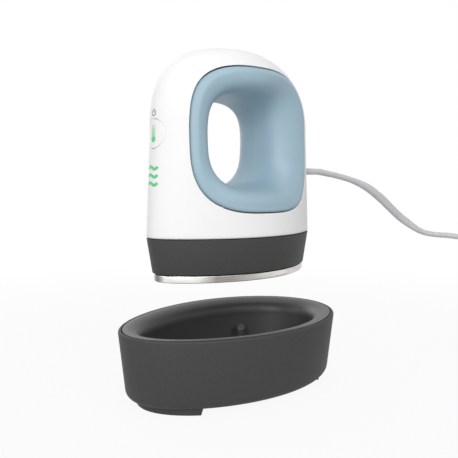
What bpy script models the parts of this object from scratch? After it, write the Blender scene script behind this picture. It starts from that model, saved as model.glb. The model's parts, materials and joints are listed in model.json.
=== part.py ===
# Mini heat press held above its stand, every piece as a closed solid of its own.
# Metres, +Z up. Y runs from the button end (-Y) to the cord end (+Y), X is sideways.
import math

import bpy
import bmesh
from mathutils import Matrix, Vector

# Running and seating clearances
FACE_GAP = 0.0003
SCREW_CLEARANCE = 0.0003
CUT_OVERRUN = 0.0010
SUNK_DEPTH = 0.0008

# Heat plate, and the height at which the press is held above the floor
PLATE_BOTTOM_Z = 0.0522
PLATE_HALF_LENGTH = 0.0413
PLATE_HALF_WIDTH = 0.0232
PLATE_THICKNESS = 0.0030
PLATE_EDGE_ROUND = 0.0007
PRESS_NARROWING_SHARE = 0.214
PRESS_CENTRE_Y = 0.0015

# Skirt below the white housing: it flares upwards
SKIRT_LIP = 0.0010
SKIRT_HEIGHT = 0.0153
SKIRT_FLARE = 0.0019
SKIRT_WALL = 0.0022
WEB_HEIGHT = 0.0055
WEB_THICKNESS = 0.0020

# White housing: shoulders, and all that it carries, stand at shares of its height. Its crown falls to the rear
HOUSING_WALL = 0.0022
HOUSING_HEIGHT = 0.0805
LENGTH_TAPER = 0.0022
LENGTH_SHOULDER_SHARE = 0.5622
WIDTH_TAPER = 0.0015
WIDTH_SHOULDER_SHARE = 0.5497
LENGTH_SHOULDER_POWER_SHARE = 2.4
WIDTH_SHOULDER_POWER_SHARE = 2.9
TOP_NARROWING_SHARE = 0.16
CROWN_SLOPE_SHARE = 0.055
HOUSING_SIDES = 48
STRAIGHT_ROW_SHARES = (0.0, 0.22, 0.45, 0.7)
SHOULDER_ROW_DEGREES = (0, 14, 28, 40, 51, 61, 70, 77, 83, 87)

# Grip: two halves that line the handle's hole
GRIP_CENTRE_Y = -0.0019
GRIP_CENTRE_SHARE = 0.5034
GRIP_HALF_LENGTH = 0.0321
GRIP_HALF_HEIGHT_SHARE = 0.3810
GRIP_CORNER_SHARE = 3.24
THROAT_CENTRE_Y = -0.0037
THROAT_CENTRE_SHARE = 0.5031
THROAT_HALF_LENGTH = 0.0187
THROAT_HALF_HEIGHT_SHARE = 0.2410
THROAT_CORNER_SHARE = 3.2
GRIP_GROOVE = 0.0005
GRIP_RECESS = 0.0002
GRIP_THICKNESS = 0.0020
GRIP_SIDES = 44
GRIP_LIP = 0.0034
GRIP_ROLL_SHARE = 0.8
GRIP_ROWS = 7

# Screw bosses under the housing and the screws in them
BOSS_RADIUS = 0.0027
BOSS_HEIGHT_IN_HOUSING = 0.0078
BOSS_RIB_THICKNESS = 0.0018
BOSS_SIDE_X = 0.0195
BOSS_END_Y = 0.0365
BOSS_HOLE_DEPTH = 0.0112
SCREW_RADIUS = 0.00125
SCREW_HEAD_RADIUS = 0.0024
SCREW_HEAD_HEIGHT = 0.0015
HOUSING_SCREW_REACH = 0.0105

# Bosses on the heat plate
PLATE_BOSS_RADIUS = 0.0026
PLATE_BOSS_X = 0.0176
PLATE_BOSS_Y = 0.0100
PLATE_SCREW_REACH = 0.0036

# Heating element, its insulation board and what senses the heat
ELEMENT_RADIUS = 0.0020
ELEMENT_LEG_X = 0.0110
ELEMENT_REAR_Y = 0.0290
ELEMENT_FRONT_Y = -0.0180
ELEMENT_BEND = 0.0034
ELEMENT_TERMINAL_RISE = 0.0120
TERMINAL_HOLE_CLEARANCE = 0.0007
BOARD_HALF_LENGTH = 0.0232
BOARD_HALF_WIDTH = 0.0144
BOARD_THICKNESS = 0.0009
FUSE_RADIUS = 0.0017
FUSE_LENGTH = 0.0100
FUSE_Y = 0.0080
SENSOR_RADIUS = 0.0015
SENSOR_LENGTH = 0.0050
SENSOR_Y = -0.0100

# Control board in the front column and what sits on it
BOARD_FRONT_Y = -0.0322
CONTROL_BOARD_THICKNESS = 0.0016
CONTROL_BOARD_HALF_WIDTH = 0.0070
CONTROL_BOARD_LOW_SHARE = 0.1640
CONTROL_BOARD_HIGH_SHARE = 0.7164
STANDOFF_RADIUS = 0.0020
STANDOFF_INSET = 0.0035
STANDOFF_HOLE_DEPTH = 0.0045
BOARD_SCREW_RADIUS = 0.0009
BOARD_SCREW_HEAD_RADIUS = 0.0017
BOARD_SCREW_HEAD_HEIGHT = 0.0012
BOARD_SCREW_REACH = 0.0040
SWITCH_HALF_WIDTH = 0.0030
SWITCH_BODY_DEPTH = 0.0035
SWITCH_PLUNGER_RADIUS = 0.0017
SWITCH_PLUNGER_DEPTH = 0.0009
LED_HALF_WIDTH = 0.0010
LED_DEPTH = 0.0009
LED_OFFSET_Z = 0.0046
WAVE_CENTRE_SHARE = 0.3199
WAVE_PITCH = 0.0034
GUIDE_HALF_WIDTH = 0.0035
GUIDE_HALF_HEIGHT_SHARE = 0.0641

# Power button in the front of the housing
BUTTON_CENTRE_SHARE = 0.5292
BUTTON_RADIUS = 0.0061
BUTTON_GAP = 0.0004
BUTTON_BACK_Y = -0.0384
BUTTON_TAB_REACH = 0.0020
BUTTON_TAB_HALF_WIDTH = 0.0022
BUTTON_TAB_THICKNESS = 0.0006
BUTTON_TAB_SINK = 0.0001
BUTTON_SIDES = 40

# Cord outlet in the rear of the housing
CORD_EXIT_SHARE = 0.3578
SLEEVE_NECK_RADIUS = 0.0029
SLEEVE_END_RADIUS = 0.0024
SLEEVE_FLANGE_RADIUS = 0.0042
SLEEVE_FLANGE_THICKNESS = 0.0016
SLEEVE_FLANGE_SETBACK = 0.0014
SLEEVE_OUTER_LENGTH = 0.0110
SLEEVE_INNER_LENGTH = 0.0070

# Stand: outer tub, its oval a little wider towards the cord end
RIM_HALF_LENGTH = 0.0558
RIM_HALF_WIDTH = 0.0377
RIM_Z = 0.0321
STAND_NARROWING_SHARE = 0.043
STAND_WIDENING_SHARE = 0.098
TUB_FLOOR_Z = 0.0032
TUB_LEAN = 0.0031
TUB_EDGE_ROUND = 0.0036
TUB_WALL = 0.0015
TUB_FLOOR = 0.0022
TUB_LIP_ROUND = 0.0005
FOOT_INSET = 0.0021
FOOT_TIP_INSET = 0.0025
FOOT_LENGTH = 0.0148
FOOT_SLANT = 0.0010
FOOT_LIFT = 0.0003
PAD_INSET = 0.0040
PAD_THICKNESS = 0.0010
PAD_RECESS = 0.0007

# Stand: liner with its rolled rim, and the four posts that carry the hot plate
RIM_GROOVE = 0.0006
ROLL_LENGTH = 0.0085
ROLL_DEPTH = 0.0085
ROLL_FLATNESS_SHARE = 0.75
LINER_WALL = 0.0020
LINER_FLOOR = 0.0020
LINER_DRAFT = 0.0009
LINER_EDGE_HEIGHT = 0.0024
ROLL_ROWS = 6
STAND_SIDES = 56
POST_RADIUS = 0.00285
POST_X_SHARE = 0.5172
POST_Y_SHARE = 0.4158
POST_TOP_Z = 0.0207
POST_RIB_HALF_WIDTH = 0.0020
POST_RIB_DROP = 0.0040
POST_SIDES = 16
SCREW_SIDES = 10
STAND_SCREW_REACH = 0.0100

# Cord: free stretch, coil, tie and plug
CORD_RADIUS = 0.0022
CORD_SAMPLE_STEP = 0.0110
CORD_ARC_CENTRE_Y = 0.1320
CORD_ARC_RADIUS = 0.0600
COIL_START_DEGREES = 40
COIL_OUTER_RADIUS = 0.0352
COIL_INNER_RADIUS = 0.0172
COIL_PITCH = 0.0050
COIL_LAYER_RISE = 0.0052
COIL_OUT_TURNS = 3.58
COIL_CLIMB_TURNS = 0.5
COIL_POINTS_PER_TURN = 24
COIL_TAIL = 0.0060
TIE_THICKNESS = 0.0008
TIE_HALF_WIDTH = 0.0030
TIE_CLEARANCE = 0.0003
TIE_ROUND = 0.0016
TIE_DEGREES = 140
PLUG_HALF_WIDTH = 0.0120
PLUG_LENGTH = 0.0240
PLUG_SLEEVE_LENGTH = 0.0140
PLUG_SLEEVE_RADIUS = 0.0032
PLUG_ROUND = 0.0040
PLUG_TAPER = 0.0022
BLADE_LENGTH = 0.0175
BLADE_HALF_HEIGHT = 0.0032
BLADE_THICKNESS = 0.0015
BLADE_SPACING = 0.0127

# Heights of the cord's free stretch: (Y, Z) straight back from the press, then (degrees, Z) round its arc
CORD_STRAIGHT_LEVELS = (
    (0.0650, 0.0987),
    (0.0750, 0.0974),
    (0.0890, 0.0948),
    (0.1030, 0.0907),
    (0.1160, 0.0845),
    (0.1240, 0.0798),
)
CORD_ARC_LEVELS = (
    (175, 0.0722),
    (160, 0.0639),
    (150, 0.0612),
    (140, 0.0604),
    (130, 0.0585),
    (120, 0.0540),
    (100, 0.0365),
    (80, 0.0180),
    (60, 0.0068),
    (50, 0.0042),
)

# Levels that follow from the sizes above
PLATE_TOP_Z = PLATE_BOTTOM_Z + PLATE_THICKNESS
SKIRT_BOTTOM_Z = PLATE_TOP_Z + FACE_GAP
SEAM_Z = PLATE_TOP_Z + SKIRT_HEIGHT
SKIRT_HALF_LENGTH = PLATE_HALF_LENGTH + SKIRT_LIP
SKIRT_HALF_WIDTH = PLATE_HALF_WIDTH + SKIRT_LIP
HOUSING_HALF_LENGTH = SKIRT_HALF_LENGTH + SKIRT_FLARE
HOUSING_HALF_WIDTH = SKIRT_HALF_WIDTH + SKIRT_FLARE
HOUSING_TOP_Z = SEAM_Z + HOUSING_HEIGHT
LENGTH_SHOULDER_Z = SEAM_Z + HOUSING_HEIGHT * LENGTH_SHOULDER_SHARE
WIDTH_SHOULDER_Z = SEAM_Z + HOUSING_HEIGHT * WIDTH_SHOULDER_SHARE
GRIP_CENTRE_Z = SEAM_Z + HOUSING_HEIGHT * GRIP_CENTRE_SHARE
GRIP_HALF_HEIGHT = HOUSING_HEIGHT * GRIP_HALF_HEIGHT_SHARE
THROAT_CENTRE_Z = SEAM_Z + HOUSING_HEIGHT * THROAT_CENTRE_SHARE
THROAT_HALF_HEIGHT = HOUSING_HEIGHT * THROAT_HALF_HEIGHT_SHARE
CONTROL_BOARD_LOW_Z = SEAM_Z + HOUSING_HEIGHT * CONTROL_BOARD_LOW_SHARE
CONTROL_BOARD_HIGH_Z = SEAM_Z + HOUSING_HEIGHT * CONTROL_BOARD_HIGH_SHARE
WAVE_CENTRE_Z = SEAM_Z + HOUSING_HEIGHT * WAVE_CENTRE_SHARE
GUIDE_HALF_HEIGHT = HOUSING_HEIGHT * GUIDE_HALF_HEIGHT_SHARE
BUTTON_CENTRE_Z = SEAM_Z + HOUSING_HEIGHT * BUTTON_CENTRE_SHARE
CORD_EXIT_Z = SEAM_Z + HOUSING_HEIGHT * CORD_EXIT_SHARE
WEB_BOTTOM_Z = SKIRT_BOTTOM_Z + WEB_HEIGHT
WEB_TOP_Z = WEB_BOTTOM_Z + WEB_THICKNESS
PLATE_BOSS_TOP_Z = WEB_BOTTOM_Z - FACE_GAP
ELEMENT_Z = PLATE_TOP_Z + FACE_GAP + ELEMENT_RADIUS
BOARD_BOTTOM_Z = ELEMENT_Z + ELEMENT_RADIUS + FACE_GAP
TUB_INNER_FLOOR_Z = TUB_FLOOR_Z + TUB_FLOOR
LINER_BOTTOM_Z = TUB_INNER_FLOOR_Z + FACE_GAP
CAVITY_FLOOR_Z = LINER_BOTTOM_Z + LINER_FLOOR
FOOT_END_Y = RIM_HALF_LENGTH - TUB_LEAN - FOOT_INSET - FOOT_TIP_INSET - FOOT_LENGTH
POST_X = RIM_HALF_WIDTH * POST_X_SHARE
POST_Y = RIM_HALF_LENGTH * POST_Y_SHARE
LINER_HALF_LENGTH = RIM_HALF_LENGTH - TUB_WALL - RIM_GROOVE
LINER_HALF_WIDTH = RIM_HALF_WIDTH - TUB_WALL - RIM_GROOVE
COIL_LOW_Z = TIE_THICKNESS + TIE_CLEARANCE + CORD_RADIUS
COIL_HIGH_Z = COIL_LOW_Z + COIL_LAYER_RISE


# Scene and mesh helpers
def clear_scene():
    for scene_object in list(bpy.data.objects):
        bpy.data.objects.remove(scene_object, do_unlink=True)


def make_material(name, colour, roughness, metallic=0.0):
    material = bpy.data.materials.new(name)
    material.use_nodes = True
    shader = material.node_tree.nodes["Principled BSDF"]
    shader.inputs["Base Color"].default_value = (*colour, 1.0)
    shader.inputs["Roughness"].default_value = roughness
    shader.inputs["Metallic"].default_value = metallic
    return material


def add_object(name, bm, smooth_degrees=40):
    bmesh.ops.recalc_face_normals(bm, faces=bm.faces[:])
    mesh = bpy.data.meshes.new(name)
    bm.to_mesh(mesh)
    bm.free()
    mesh.shade_smooth()
    mesh.set_sharp_from_angle(angle=math.radians(smooth_degrees))
    scene_object = bpy.data.objects.new(name, mesh)
    bpy.context.collection.objects.link(scene_object)
    return scene_object


def set_material(scene_object, material):
    scene_object.data.materials.clear()
    scene_object.data.materials.append(material)
    return scene_object


def combine(target, tool, operation):
    modifier = target.modifiers.new(operation, "BOOLEAN")
    modifier.operation = operation
    modifier.solver = "EXACT"
    modifier.object = tool
    depsgraph = bpy.context.evaluated_depsgraph_get()
    target.data = bpy.data.meshes.new_from_object(target.evaluated_get(depsgraph))
    target.modifiers.clear()
    bpy.data.objects.remove(tool, do_unlink=True)
    return target


def add_loft(bm, rings, closed=False):
    rows = [[bm.verts.new(point) for point in ring] for ring in rings]
    count = len(rows[0])
    pairs = list(zip(rows, rows[1:]))
    if closed:
        pairs.append((rows[-1], rows[0]))
    for low, high in pairs:
        for index in range(count):
            after = (index + 1) % count
            bm.faces.new((low[index], low[after], high[after], high[index]))
    if not closed:
        bm.faces.new(rows[0])
        bm.faces.new(rows[-1])


def loft_object(name, rings, closed=False):
    bm = bmesh.new()
    add_loft(bm, rings, closed)
    return add_object(name, bm)


def oval_factor(share, narrowing_share, widening_share):
    """How wide the oval is at a share of its half length, against a plain ellipse."""
    return (1 - narrowing_share * share * share) * (1 + widening_share * share)


def oval_ring(half_length, half_width, z, narrowing_share, sides, widening_share=0.0):
    ring = []
    for index in range(sides):
        angle = math.tau * index / sides
        share = math.sin(angle)
        x = half_width * math.cos(angle) * oval_factor(share, narrowing_share, widening_share)
        ring.append((x, half_length * share, z))
    return ring


def oval_half_width(y, half_length, half_width, narrowing_share, widening_share=0.0):
    share = min(max(y / half_length, -1), 1)
    return half_width * math.sqrt(1 - share * share) * oval_factor(share, narrowing_share, widening_share)


def stand_rings(profile, half_length, half_width):
    """Rings of the stand's oval for a list of (inset, z)."""
    return [oval_ring(half_length - inset, half_width - inset, z, STAND_NARROWING_SHARE, STAND_SIDES,
                      STAND_WIDENING_SHARE) for inset, z in profile]


def turned(name, profile, sides, origin=(0, 0, 0), axis="Z"):
    """A turned solid: profile lists (radius, distance along the axis)."""
    rings = []
    for radius, distance in profile:
        ring = []
        for index in range(sides):
            angle = math.tau * index / sides
            ring.append((radius * math.cos(angle), radius * math.sin(angle), distance))
        rings.append(ring)
    solid = loft_object(name, rings)
    turn = {"Z": Matrix.Identity(4), "Y": Matrix.Rotation(-math.pi / 2, 4, "X"),
            "X": Matrix.Rotation(math.pi / 2, 4, "Y")}[axis]
    solid.data.transform(Matrix.Translation(Vector(origin)) @ turn)
    return solid


def block(name, low, high, bevel=0.0):
    bm = bmesh.new()
    bmesh.ops.create_cube(bm, size=1)
    size = Vector(high) - Vector(low)
    middle = (Vector(high) + Vector(low)) / 2
    place = Matrix.Translation(middle) @ Matrix.Diagonal((*size, 1))
    bmesh.ops.transform(bm, matrix=place, verts=bm.verts[:])
    if bevel > 0:
        bmesh.ops.bevel(bm, geom=bm.edges[:], offset=bevel, segments=2, profile=0.5, affect="EDGES")
    return add_object(name, bm)


def smooth_path(points, step):
    """Points read at even steps from a Catmull-Rom curve through the route's own points."""
    route = [Vector(point) for point in points]
    ends = [2 * route[0] - route[1]] + route + [2 * route[-1] - route[-2]]
    fine = []
    pieces = 16
    for before, start, end, after in zip(ends, ends[1:], ends[2:], ends[3:]):
        for index in range(pieces):
            t = index / pieces
            slope_in = (end - before) / 2
            slope_out = (after - start) / 2
            fine.append(start * (2 * t**3 - 3 * t**2 + 1) + slope_in * (t**3 - 2 * t**2 + t)
                        + end * (3 * t**2 - 2 * t**3) + slope_out * (t**3 - t**2))
    fine.append(route[-1])
    lengths = [0.0]
    for start, end in zip(fine, fine[1:]):
        lengths.append(lengths[-1] + (end - start).length)
    count = max(2, round(lengths[-1] / step))
    even = []
    index = 0
    for number in range(count + 1):
        wanted = lengths[-1] * number / count
        while index < len(fine) - 2 and lengths[index + 1] < wanted:
            index += 1
        share = (wanted - lengths[index]) / (lengths[index + 1] - lengths[index])
        even.append(fine[index].lerp(fine[index + 1], share))
    return even


def tube(name, points, radius, resolution):
    curve = bpy.data.curves.new(name, "CURVE")
    curve.dimensions = "3D"
    curve.bevel_depth = radius
    curve.bevel_resolution = resolution
    curve.use_fill_caps = True
    spline = curve.splines.new("POLY")
    spline.points.add(len(points) - 1)
    for point, place in zip(spline.points, points):
        point.co = (*place, 1)
    spline.use_smooth = True
    scene_object = bpy.data.objects.new(name, curve)
    bpy.context.collection.objects.link(scene_object)
    return scene_object


def tube_mesh(name, points, radius, resolution):
    """A tube turned into a plain mesh, for a piece made of several tubes."""
    curve_object = tube(name + "_curve", points, radius, resolution)
    depsgraph = bpy.context.evaluated_depsgraph_get()
    mesh = bpy.data.meshes.new_from_object(curve_object.evaluated_get(depsgraph))
    bm = bmesh.new()
    bm.from_mesh(mesh)
    bpy.data.objects.remove(curve_object, do_unlink=True)
    return add_object(name, bm)


def four_corners(x, y):
    return [(x, y), (-x, y), (-x, -y), (x, -y)]


def four_ends(x, y):
    return [(x, 0), (-x, 0), (0, y), (0, -y)]


# Outer form of the housing
def shoulder(z, half, taper, shoulder_z, top_z, power_share):
    side = half - taper * (min(z, shoulder_z) - SEAM_Z) / (shoulder_z - SEAM_Z)
    if z <= shoulder_z:
        return side
    rise = min((z - shoulder_z) / (top_z - shoulder_z), 1)
    return side * (1 - rise ** power_share) ** (1 / power_share)


def housing_section(z, inset=0.0):
    """Half length, half width and narrowing of the housing at one height."""
    top_z = HOUSING_TOP_Z - inset
    half_length = shoulder(z, HOUSING_HALF_LENGTH - inset, LENGTH_TAPER, LENGTH_SHOULDER_Z, top_z,
                           LENGTH_SHOULDER_POWER_SHARE)
    half_width = shoulder(z, HOUSING_HALF_WIDTH - inset, WIDTH_TAPER, WIDTH_SHOULDER_Z, top_z,
                          WIDTH_SHOULDER_POWER_SHARE)
    rise = (z - SEAM_Z) / (HOUSING_TOP_Z - SEAM_Z)
    narrowing_share = PRESS_NARROWING_SHARE + (TOP_NARROWING_SHARE - PRESS_NARROWING_SHARE) * rise
    return half_length, half_width, narrowing_share


def crown_fall(y, z):
    """How far the housing's crown falls at one place, growing from the shoulder to the top."""
    rise = (z - WIDTH_SHOULDER_Z) / (HOUSING_TOP_Z - WIDTH_SHOULDER_Z)
    return CROWN_SLOPE_SHARE * y * min(max(rise, 0), 1)


def housing_rings(inset, sides):
    top_z = HOUSING_TOP_Z - inset
    levels = [SEAM_Z + (WIDTH_SHOULDER_Z - SEAM_Z) * share for share in STRAIGHT_ROW_SHARES]
    for degrees in SHOULDER_ROW_DEGREES:
        levels.append(WIDTH_SHOULDER_Z + (top_z - WIDTH_SHOULDER_Z) * math.sin(math.radians(degrees)))
    rings = []
    for z in levels:
        half_length, half_width, narrowing_share = housing_section(z, inset)
        ring = oval_ring(half_length, half_width, z, narrowing_share, sides)
        rings.append([(x, y, z - crown_fall(y, z)) for x, y, z in ring])
    return rings


def housing_half_width(y, z):
    level = min(z + crown_fall(y, z), HOUSING_TOP_Z)
    return oval_half_width(y, *housing_section(level))


def front_y(z):
    return -housing_section(z)[0]


def rounded_outline(centre_y, centre_z, half_length, half_height, corner_share, sides):
    """Points (y, z) of a rounded rectangle-like outline, at even angles."""
    outline = []
    for index in range(sides):
        angle = math.tau * index / sides
        along = abs(math.cos(angle) / half_length) ** corner_share
        up = abs(math.sin(angle) / half_height) ** corner_share
        reach = (along + up) ** (-1 / corner_share)
        outline.append((centre_y + reach * math.cos(angle), centre_z + reach * math.sin(angle)))
    return outline


def grip_outline(margin, sides=GRIP_SIDES):
    return rounded_outline(GRIP_CENTRE_Y, GRIP_CENTRE_Z, GRIP_HALF_LENGTH + margin,
                           GRIP_HALF_HEIGHT + margin, GRIP_CORNER_SHARE, sides)


# Pieces of the press
def make_housing(material):
    outer = housing_rings(0.0, HOUSING_SIDES)
    inner = housing_rings(HOUSING_WALL, HOUSING_SIDES)
    housing = loft_object("housing", list(reversed(inner)) + outer)
    reach = HOUSING_HALF_WIDTH + CUT_OVERRUN
    window = [[(x, y, z) for y, z in grip_outline(0.0)] for x in (-reach, reach)]
    combine(housing, loft_object("window", window), "DIFFERENCE")
    button_depth = HOUSING_HALF_LENGTH / 2
    button_hole = turned("button_hole", [(BUTTON_RADIUS + BUTTON_GAP, -button_depth),
                                         (BUTTON_RADIUS + BUTTON_GAP, 0)],
                         BUTTON_SIDES, (0, front_y(BUTTON_CENTRE_Z) + button_depth / 2, BUTTON_CENTRE_Z), "Y")
    combine(housing, button_hole, "DIFFERENCE")
    rear_y = -front_y(CORD_EXIT_Z)
    cord_hole = turned("cord_hole", [(SLEEVE_NECK_RADIUS + FACE_GAP, -2 * HOUSING_WALL),
                                     (SLEEVE_NECK_RADIUS + FACE_GAP, 2 * HOUSING_WALL)],
                       BUTTON_SIDES, (0, rear_y, CORD_EXIT_Z), "Y")
    combine(housing, cord_hole, "DIFFERENCE")
    for x, y in four_ends(BOSS_SIDE_X, BOSS_END_Y):
        add_housing_boss(housing, x, y)
    for z in (CONTROL_BOARD_LOW_Z + STANDOFF_INSET, CONTROL_BOARD_HIGH_Z - STANDOFF_INSET):
        add_standoff(housing, z)
    return set_material(housing, material)


def add_housing_boss(housing, x, y):
    """A screw boss that reaches down to the skirt's web, with a rib to the wall."""
    bottom = WEB_TOP_Z + FACE_GAP
    top = SEAM_Z + BOSS_HEIGHT_IN_HOUSING
    boss = turned("boss", [(BOSS_RADIUS, bottom), (BOSS_RADIUS, top)], POST_SIDES, (x, y, 0))
    half_length, half_width, _ = housing_section(top)
    half_rib = BOSS_RIB_THICKNESS / 2
    reach_x = math.copysign(half_width - HOUSING_WALL / 2, x) if x else half_rib
    reach_y = math.copysign(half_length - HOUSING_WALL / 2, y) if y else half_rib
    start = (min(x, reach_x) if x else -half_rib, min(y, reach_y) if y else -half_rib, SEAM_Z + SUNK_DEPTH)
    end = (max(x, reach_x) if x else half_rib, max(y, reach_y) if y else half_rib, top - SUNK_DEPTH)
    combine(boss, block("rib", start, end), "UNION")
    hole_radius = SCREW_RADIUS + SCREW_CLEARANCE
    combine(housing, boss, "UNION")
    hole = turned("boss_hole", [(hole_radius, bottom - CUT_OVERRUN), (hole_radius, bottom + BOSS_HOLE_DEPTH)],
                  POST_SIDES, (x, y, 0))
    combine(housing, hole, "DIFFERENCE")


def add_standoff(housing, z):
    """A peg from the front wall that carries the control board."""
    start = front_y(z) + HOUSING_WALL / 2
    end = BOARD_FRONT_Y - FACE_GAP
    peg = turned("peg", [(STANDOFF_RADIUS, start), (STANDOFF_RADIUS, end)], POST_SIDES, (0, 0, z), "Y")
    combine(housing, peg, "UNION")
    hole_radius = BOARD_SCREW_RADIUS + SCREW_CLEARANCE
    hole = turned("peg_hole", [(hole_radius, end - STANDOFF_HOLE_DEPTH), (hole_radius, end + CUT_OVERRUN)],
                  POST_SIDES, (0, 0, z), "Y")
    combine(housing, hole, "DIFFERENCE")


def make_grip(name, side, material):
    """Half of the lining: a flat lip on the skin, then a roll in to the throat."""
    rim = grip_outline(-GRIP_GROOVE)
    lip = grip_outline(-GRIP_GROOVE - GRIP_LIP)
    throat = rounded_outline(THROAT_CENTRE_Y, THROAT_CENTRE_Z, THROAT_HALF_LENGTH, THROAT_HALF_HEIGHT,
                             THROAT_CORNER_SHARE, GRIP_SIDES)
    inner_x = FACE_GAP / 2
    rim_x = [housing_half_width(y, z) - GRIP_RECESS for y, z in rim]
    front = [[(side * x, y, z) for x, (y, z) in zip(rim_x, rim)]]
    back = [[(side * (x - GRIP_THICKNESS), y, z) for x, (y, z) in zip(rim_x, rim)]]
    for row in range(GRIP_ROWS + 1):
        turn = math.pi / 2 * row / GRIP_ROWS
        in_share = math.sin(turn) ** GRIP_ROLL_SHARE
        out_share = math.cos(turn) ** GRIP_ROLL_SHARE
        front_ring = []
        back_ring = []
        for (lip_y, lip_z), (throat_y, throat_z) in zip(lip, throat):
            edge_x = housing_half_width(lip_y, lip_z) - GRIP_RECESS
            inward = Vector((throat_y - lip_y, throat_z - lip_z))
            back_share = 1 - GRIP_THICKNESS / inward.length
            face_y, face_z = Vector((lip_y, lip_z)) + inward * in_share
            rear_y, rear_z = Vector((lip_y, lip_z)) + inward * back_share * in_share
            face_x = inner_x + (edge_x - inner_x) * out_share
            rear_x = inner_x + (edge_x - GRIP_THICKNESS - inner_x) * out_share
            front_ring.append((side * face_x, face_y, face_z))
            back_ring.append((side * rear_x, rear_y, rear_z))
        front.append(front_ring)
        back.append(back_ring)
    grip = loft_object(name, front + list(reversed(back)), closed=True)
    return set_material(grip, material)


def skirt_half_sizes(z, inset=0.0):
    rise = (z - SKIRT_BOTTOM_Z) / (SEAM_Z - SKIRT_BOTTOM_Z)
    return (SKIRT_HALF_LENGTH + SKIRT_FLARE * rise - inset, SKIRT_HALF_WIDTH + SKIRT_FLARE * rise - inset)


def make_skirt(material):
    """Flared band below the housing, with a web across it that carries the plate."""
    top_z = SEAM_Z - FACE_GAP
    levels = ((WEB_BOTTOM_Z, SKIRT_WALL), (SKIRT_BOTTOM_Z, SKIRT_WALL), (SKIRT_BOTTOM_Z, 0.0),
              (top_z, 0.0), (top_z, SKIRT_WALL), (WEB_TOP_Z, SKIRT_WALL))
    rings = [oval_ring(*skirt_half_sizes(z, inset), z, PRESS_NARROWING_SHARE, HOUSING_SIDES)
             for z, inset in levels]
    skirt = loft_object("skirt", rings)
    hole_radius = SCREW_RADIUS + SCREW_CLEARANCE
    holes = [(x, y, hole_radius) for x, y in four_ends(BOSS_SIDE_X, BOSS_END_Y)]
    holes += [(x, y, hole_radius) for x, y in four_corners(PLATE_BOSS_X, PLATE_BOSS_Y)]
    terminal_radius = ELEMENT_RADIUS + TERMINAL_HOLE_CLEARANCE
    holes += [(x, ELEMENT_REAR_Y, terminal_radius) for x in (ELEMENT_LEG_X, -ELEMENT_LEG_X)]
    for x, y, radius in holes:
        hole = turned("hole", [(radius, WEB_BOTTOM_Z - CUT_OVERRUN), (radius, WEB_TOP_Z + CUT_OVERRUN)],
                      POST_SIDES, (x, y, 0))
        combine(skirt, hole, "DIFFERENCE")
    return set_material(skirt, material)


def make_soleplate(material):
    third = PLATE_EDGE_ROUND / 3
    levels = ((PLATE_BOTTOM_Z, PLATE_EDGE_ROUND), (PLATE_BOTTOM_Z + third, third),
              (PLATE_BOTTOM_Z + PLATE_EDGE_ROUND, 0.0), (PLATE_TOP_Z, 0.0))
    rings = [oval_ring(PLATE_HALF_LENGTH - inset, PLATE_HALF_WIDTH - inset, z,
                       PRESS_NARROWING_SHARE, HOUSING_SIDES) for z, inset in levels]
    plate = loft_object("soleplate", rings)
    for x, y in four_corners(PLATE_BOSS_X, PLATE_BOSS_Y):
        boss = turned("plate_boss", [(PLATE_BOSS_RADIUS, PLATE_TOP_Z - SUNK_DEPTH),
                                     (PLATE_BOSS_RADIUS, PLATE_BOSS_TOP_Z)], POST_SIDES, (x, y, 0))
        combine(plate, boss, "UNION")
        hole_radius = SCREW_RADIUS + SCREW_CLEARANCE
        span = [(hole_radius, PLATE_TOP_Z), (hole_radius, PLATE_BOSS_TOP_Z + CUT_OVERRUN)]
        hole = turned("plate_hole", span, POST_SIDES, (x, y, 0))
        combine(plate, hole, "DIFFERENCE")
    return set_material(plate, material)


def element_path():
    """U of the sheathed element: up at one terminal, round the front, up at the other."""
    quarter = 5
    right = [Vector((ELEMENT_LEG_X, ELEMENT_REAR_Y, ELEMENT_Z + ELEMENT_BEND + ELEMENT_TERMINAL_RISE))]
    for index in range(quarter + 1):
        turn = math.pi / 2 * index / quarter
        right.append(Vector((ELEMENT_LEG_X, ELEMENT_REAR_Y - ELEMENT_BEND * (1 - math.cos(turn)),
                             ELEMENT_Z + ELEMENT_BEND * (1 - math.sin(turn)))))
    front = []
    steps = 12
    for index in range(steps + 1):
        turn = math.pi * index / steps
        front.append(Vector((ELEMENT_LEG_X * math.cos(turn), ELEMENT_FRONT_Y - ELEMENT_LEG_X * math.sin(turn),
                             ELEMENT_Z)))
    left = [Vector((-point.x, point.y, point.z)) for point in reversed(right)]
    return right + front + left


def make_heating_element(material):
    element = tube_mesh("heating_element", element_path(), ELEMENT_RADIUS, 2)
    return set_material(element, material)


def make_insulation_board(material):
    rings = [oval_ring(BOARD_HALF_LENGTH, BOARD_HALF_WIDTH, z, 0.0, HOUSING_SIDES // 2)
             for z in (BOARD_BOTTOM_Z, BOARD_BOTTOM_Z + BOARD_THICKNESS)]
    board = loft_object("insulation_board", rings)
    return set_material(board, material)


def make_thermal_parts(material_fuse, material_sensor):
    """A one-shot fuse and a bead sensor, both lying on the plate inside the element's U."""
    fuse_z = PLATE_TOP_Z + FACE_GAP + FUSE_RADIUS
    cap = FUSE_RADIUS / 3
    half = FUSE_LENGTH / 2
    profile = [(cap, -half - cap), (cap, -half), (FUSE_RADIUS, -half + cap), (FUSE_RADIUS, half - cap),
               (cap, half), (cap, half + cap)]
    fuse = turned("thermal_fuse", profile, POST_SIDES, (0, FUSE_Y, fuse_z), "Y")
    sensor_z = PLATE_TOP_Z + FACE_GAP + SENSOR_RADIUS
    bead = SENSOR_RADIUS / 2
    half = SENSOR_LENGTH / 2
    profile = [(bead, -half - bead), (SENSOR_RADIUS, -half), (SENSOR_RADIUS, half), (bead, half + bead)]
    sensor = turned("temperature_sensor", profile, POST_SIDES, (0, SENSOR_Y, sensor_z), "Y")
    return set_material(fuse, material_fuse), set_material(sensor, material_sensor)


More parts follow.
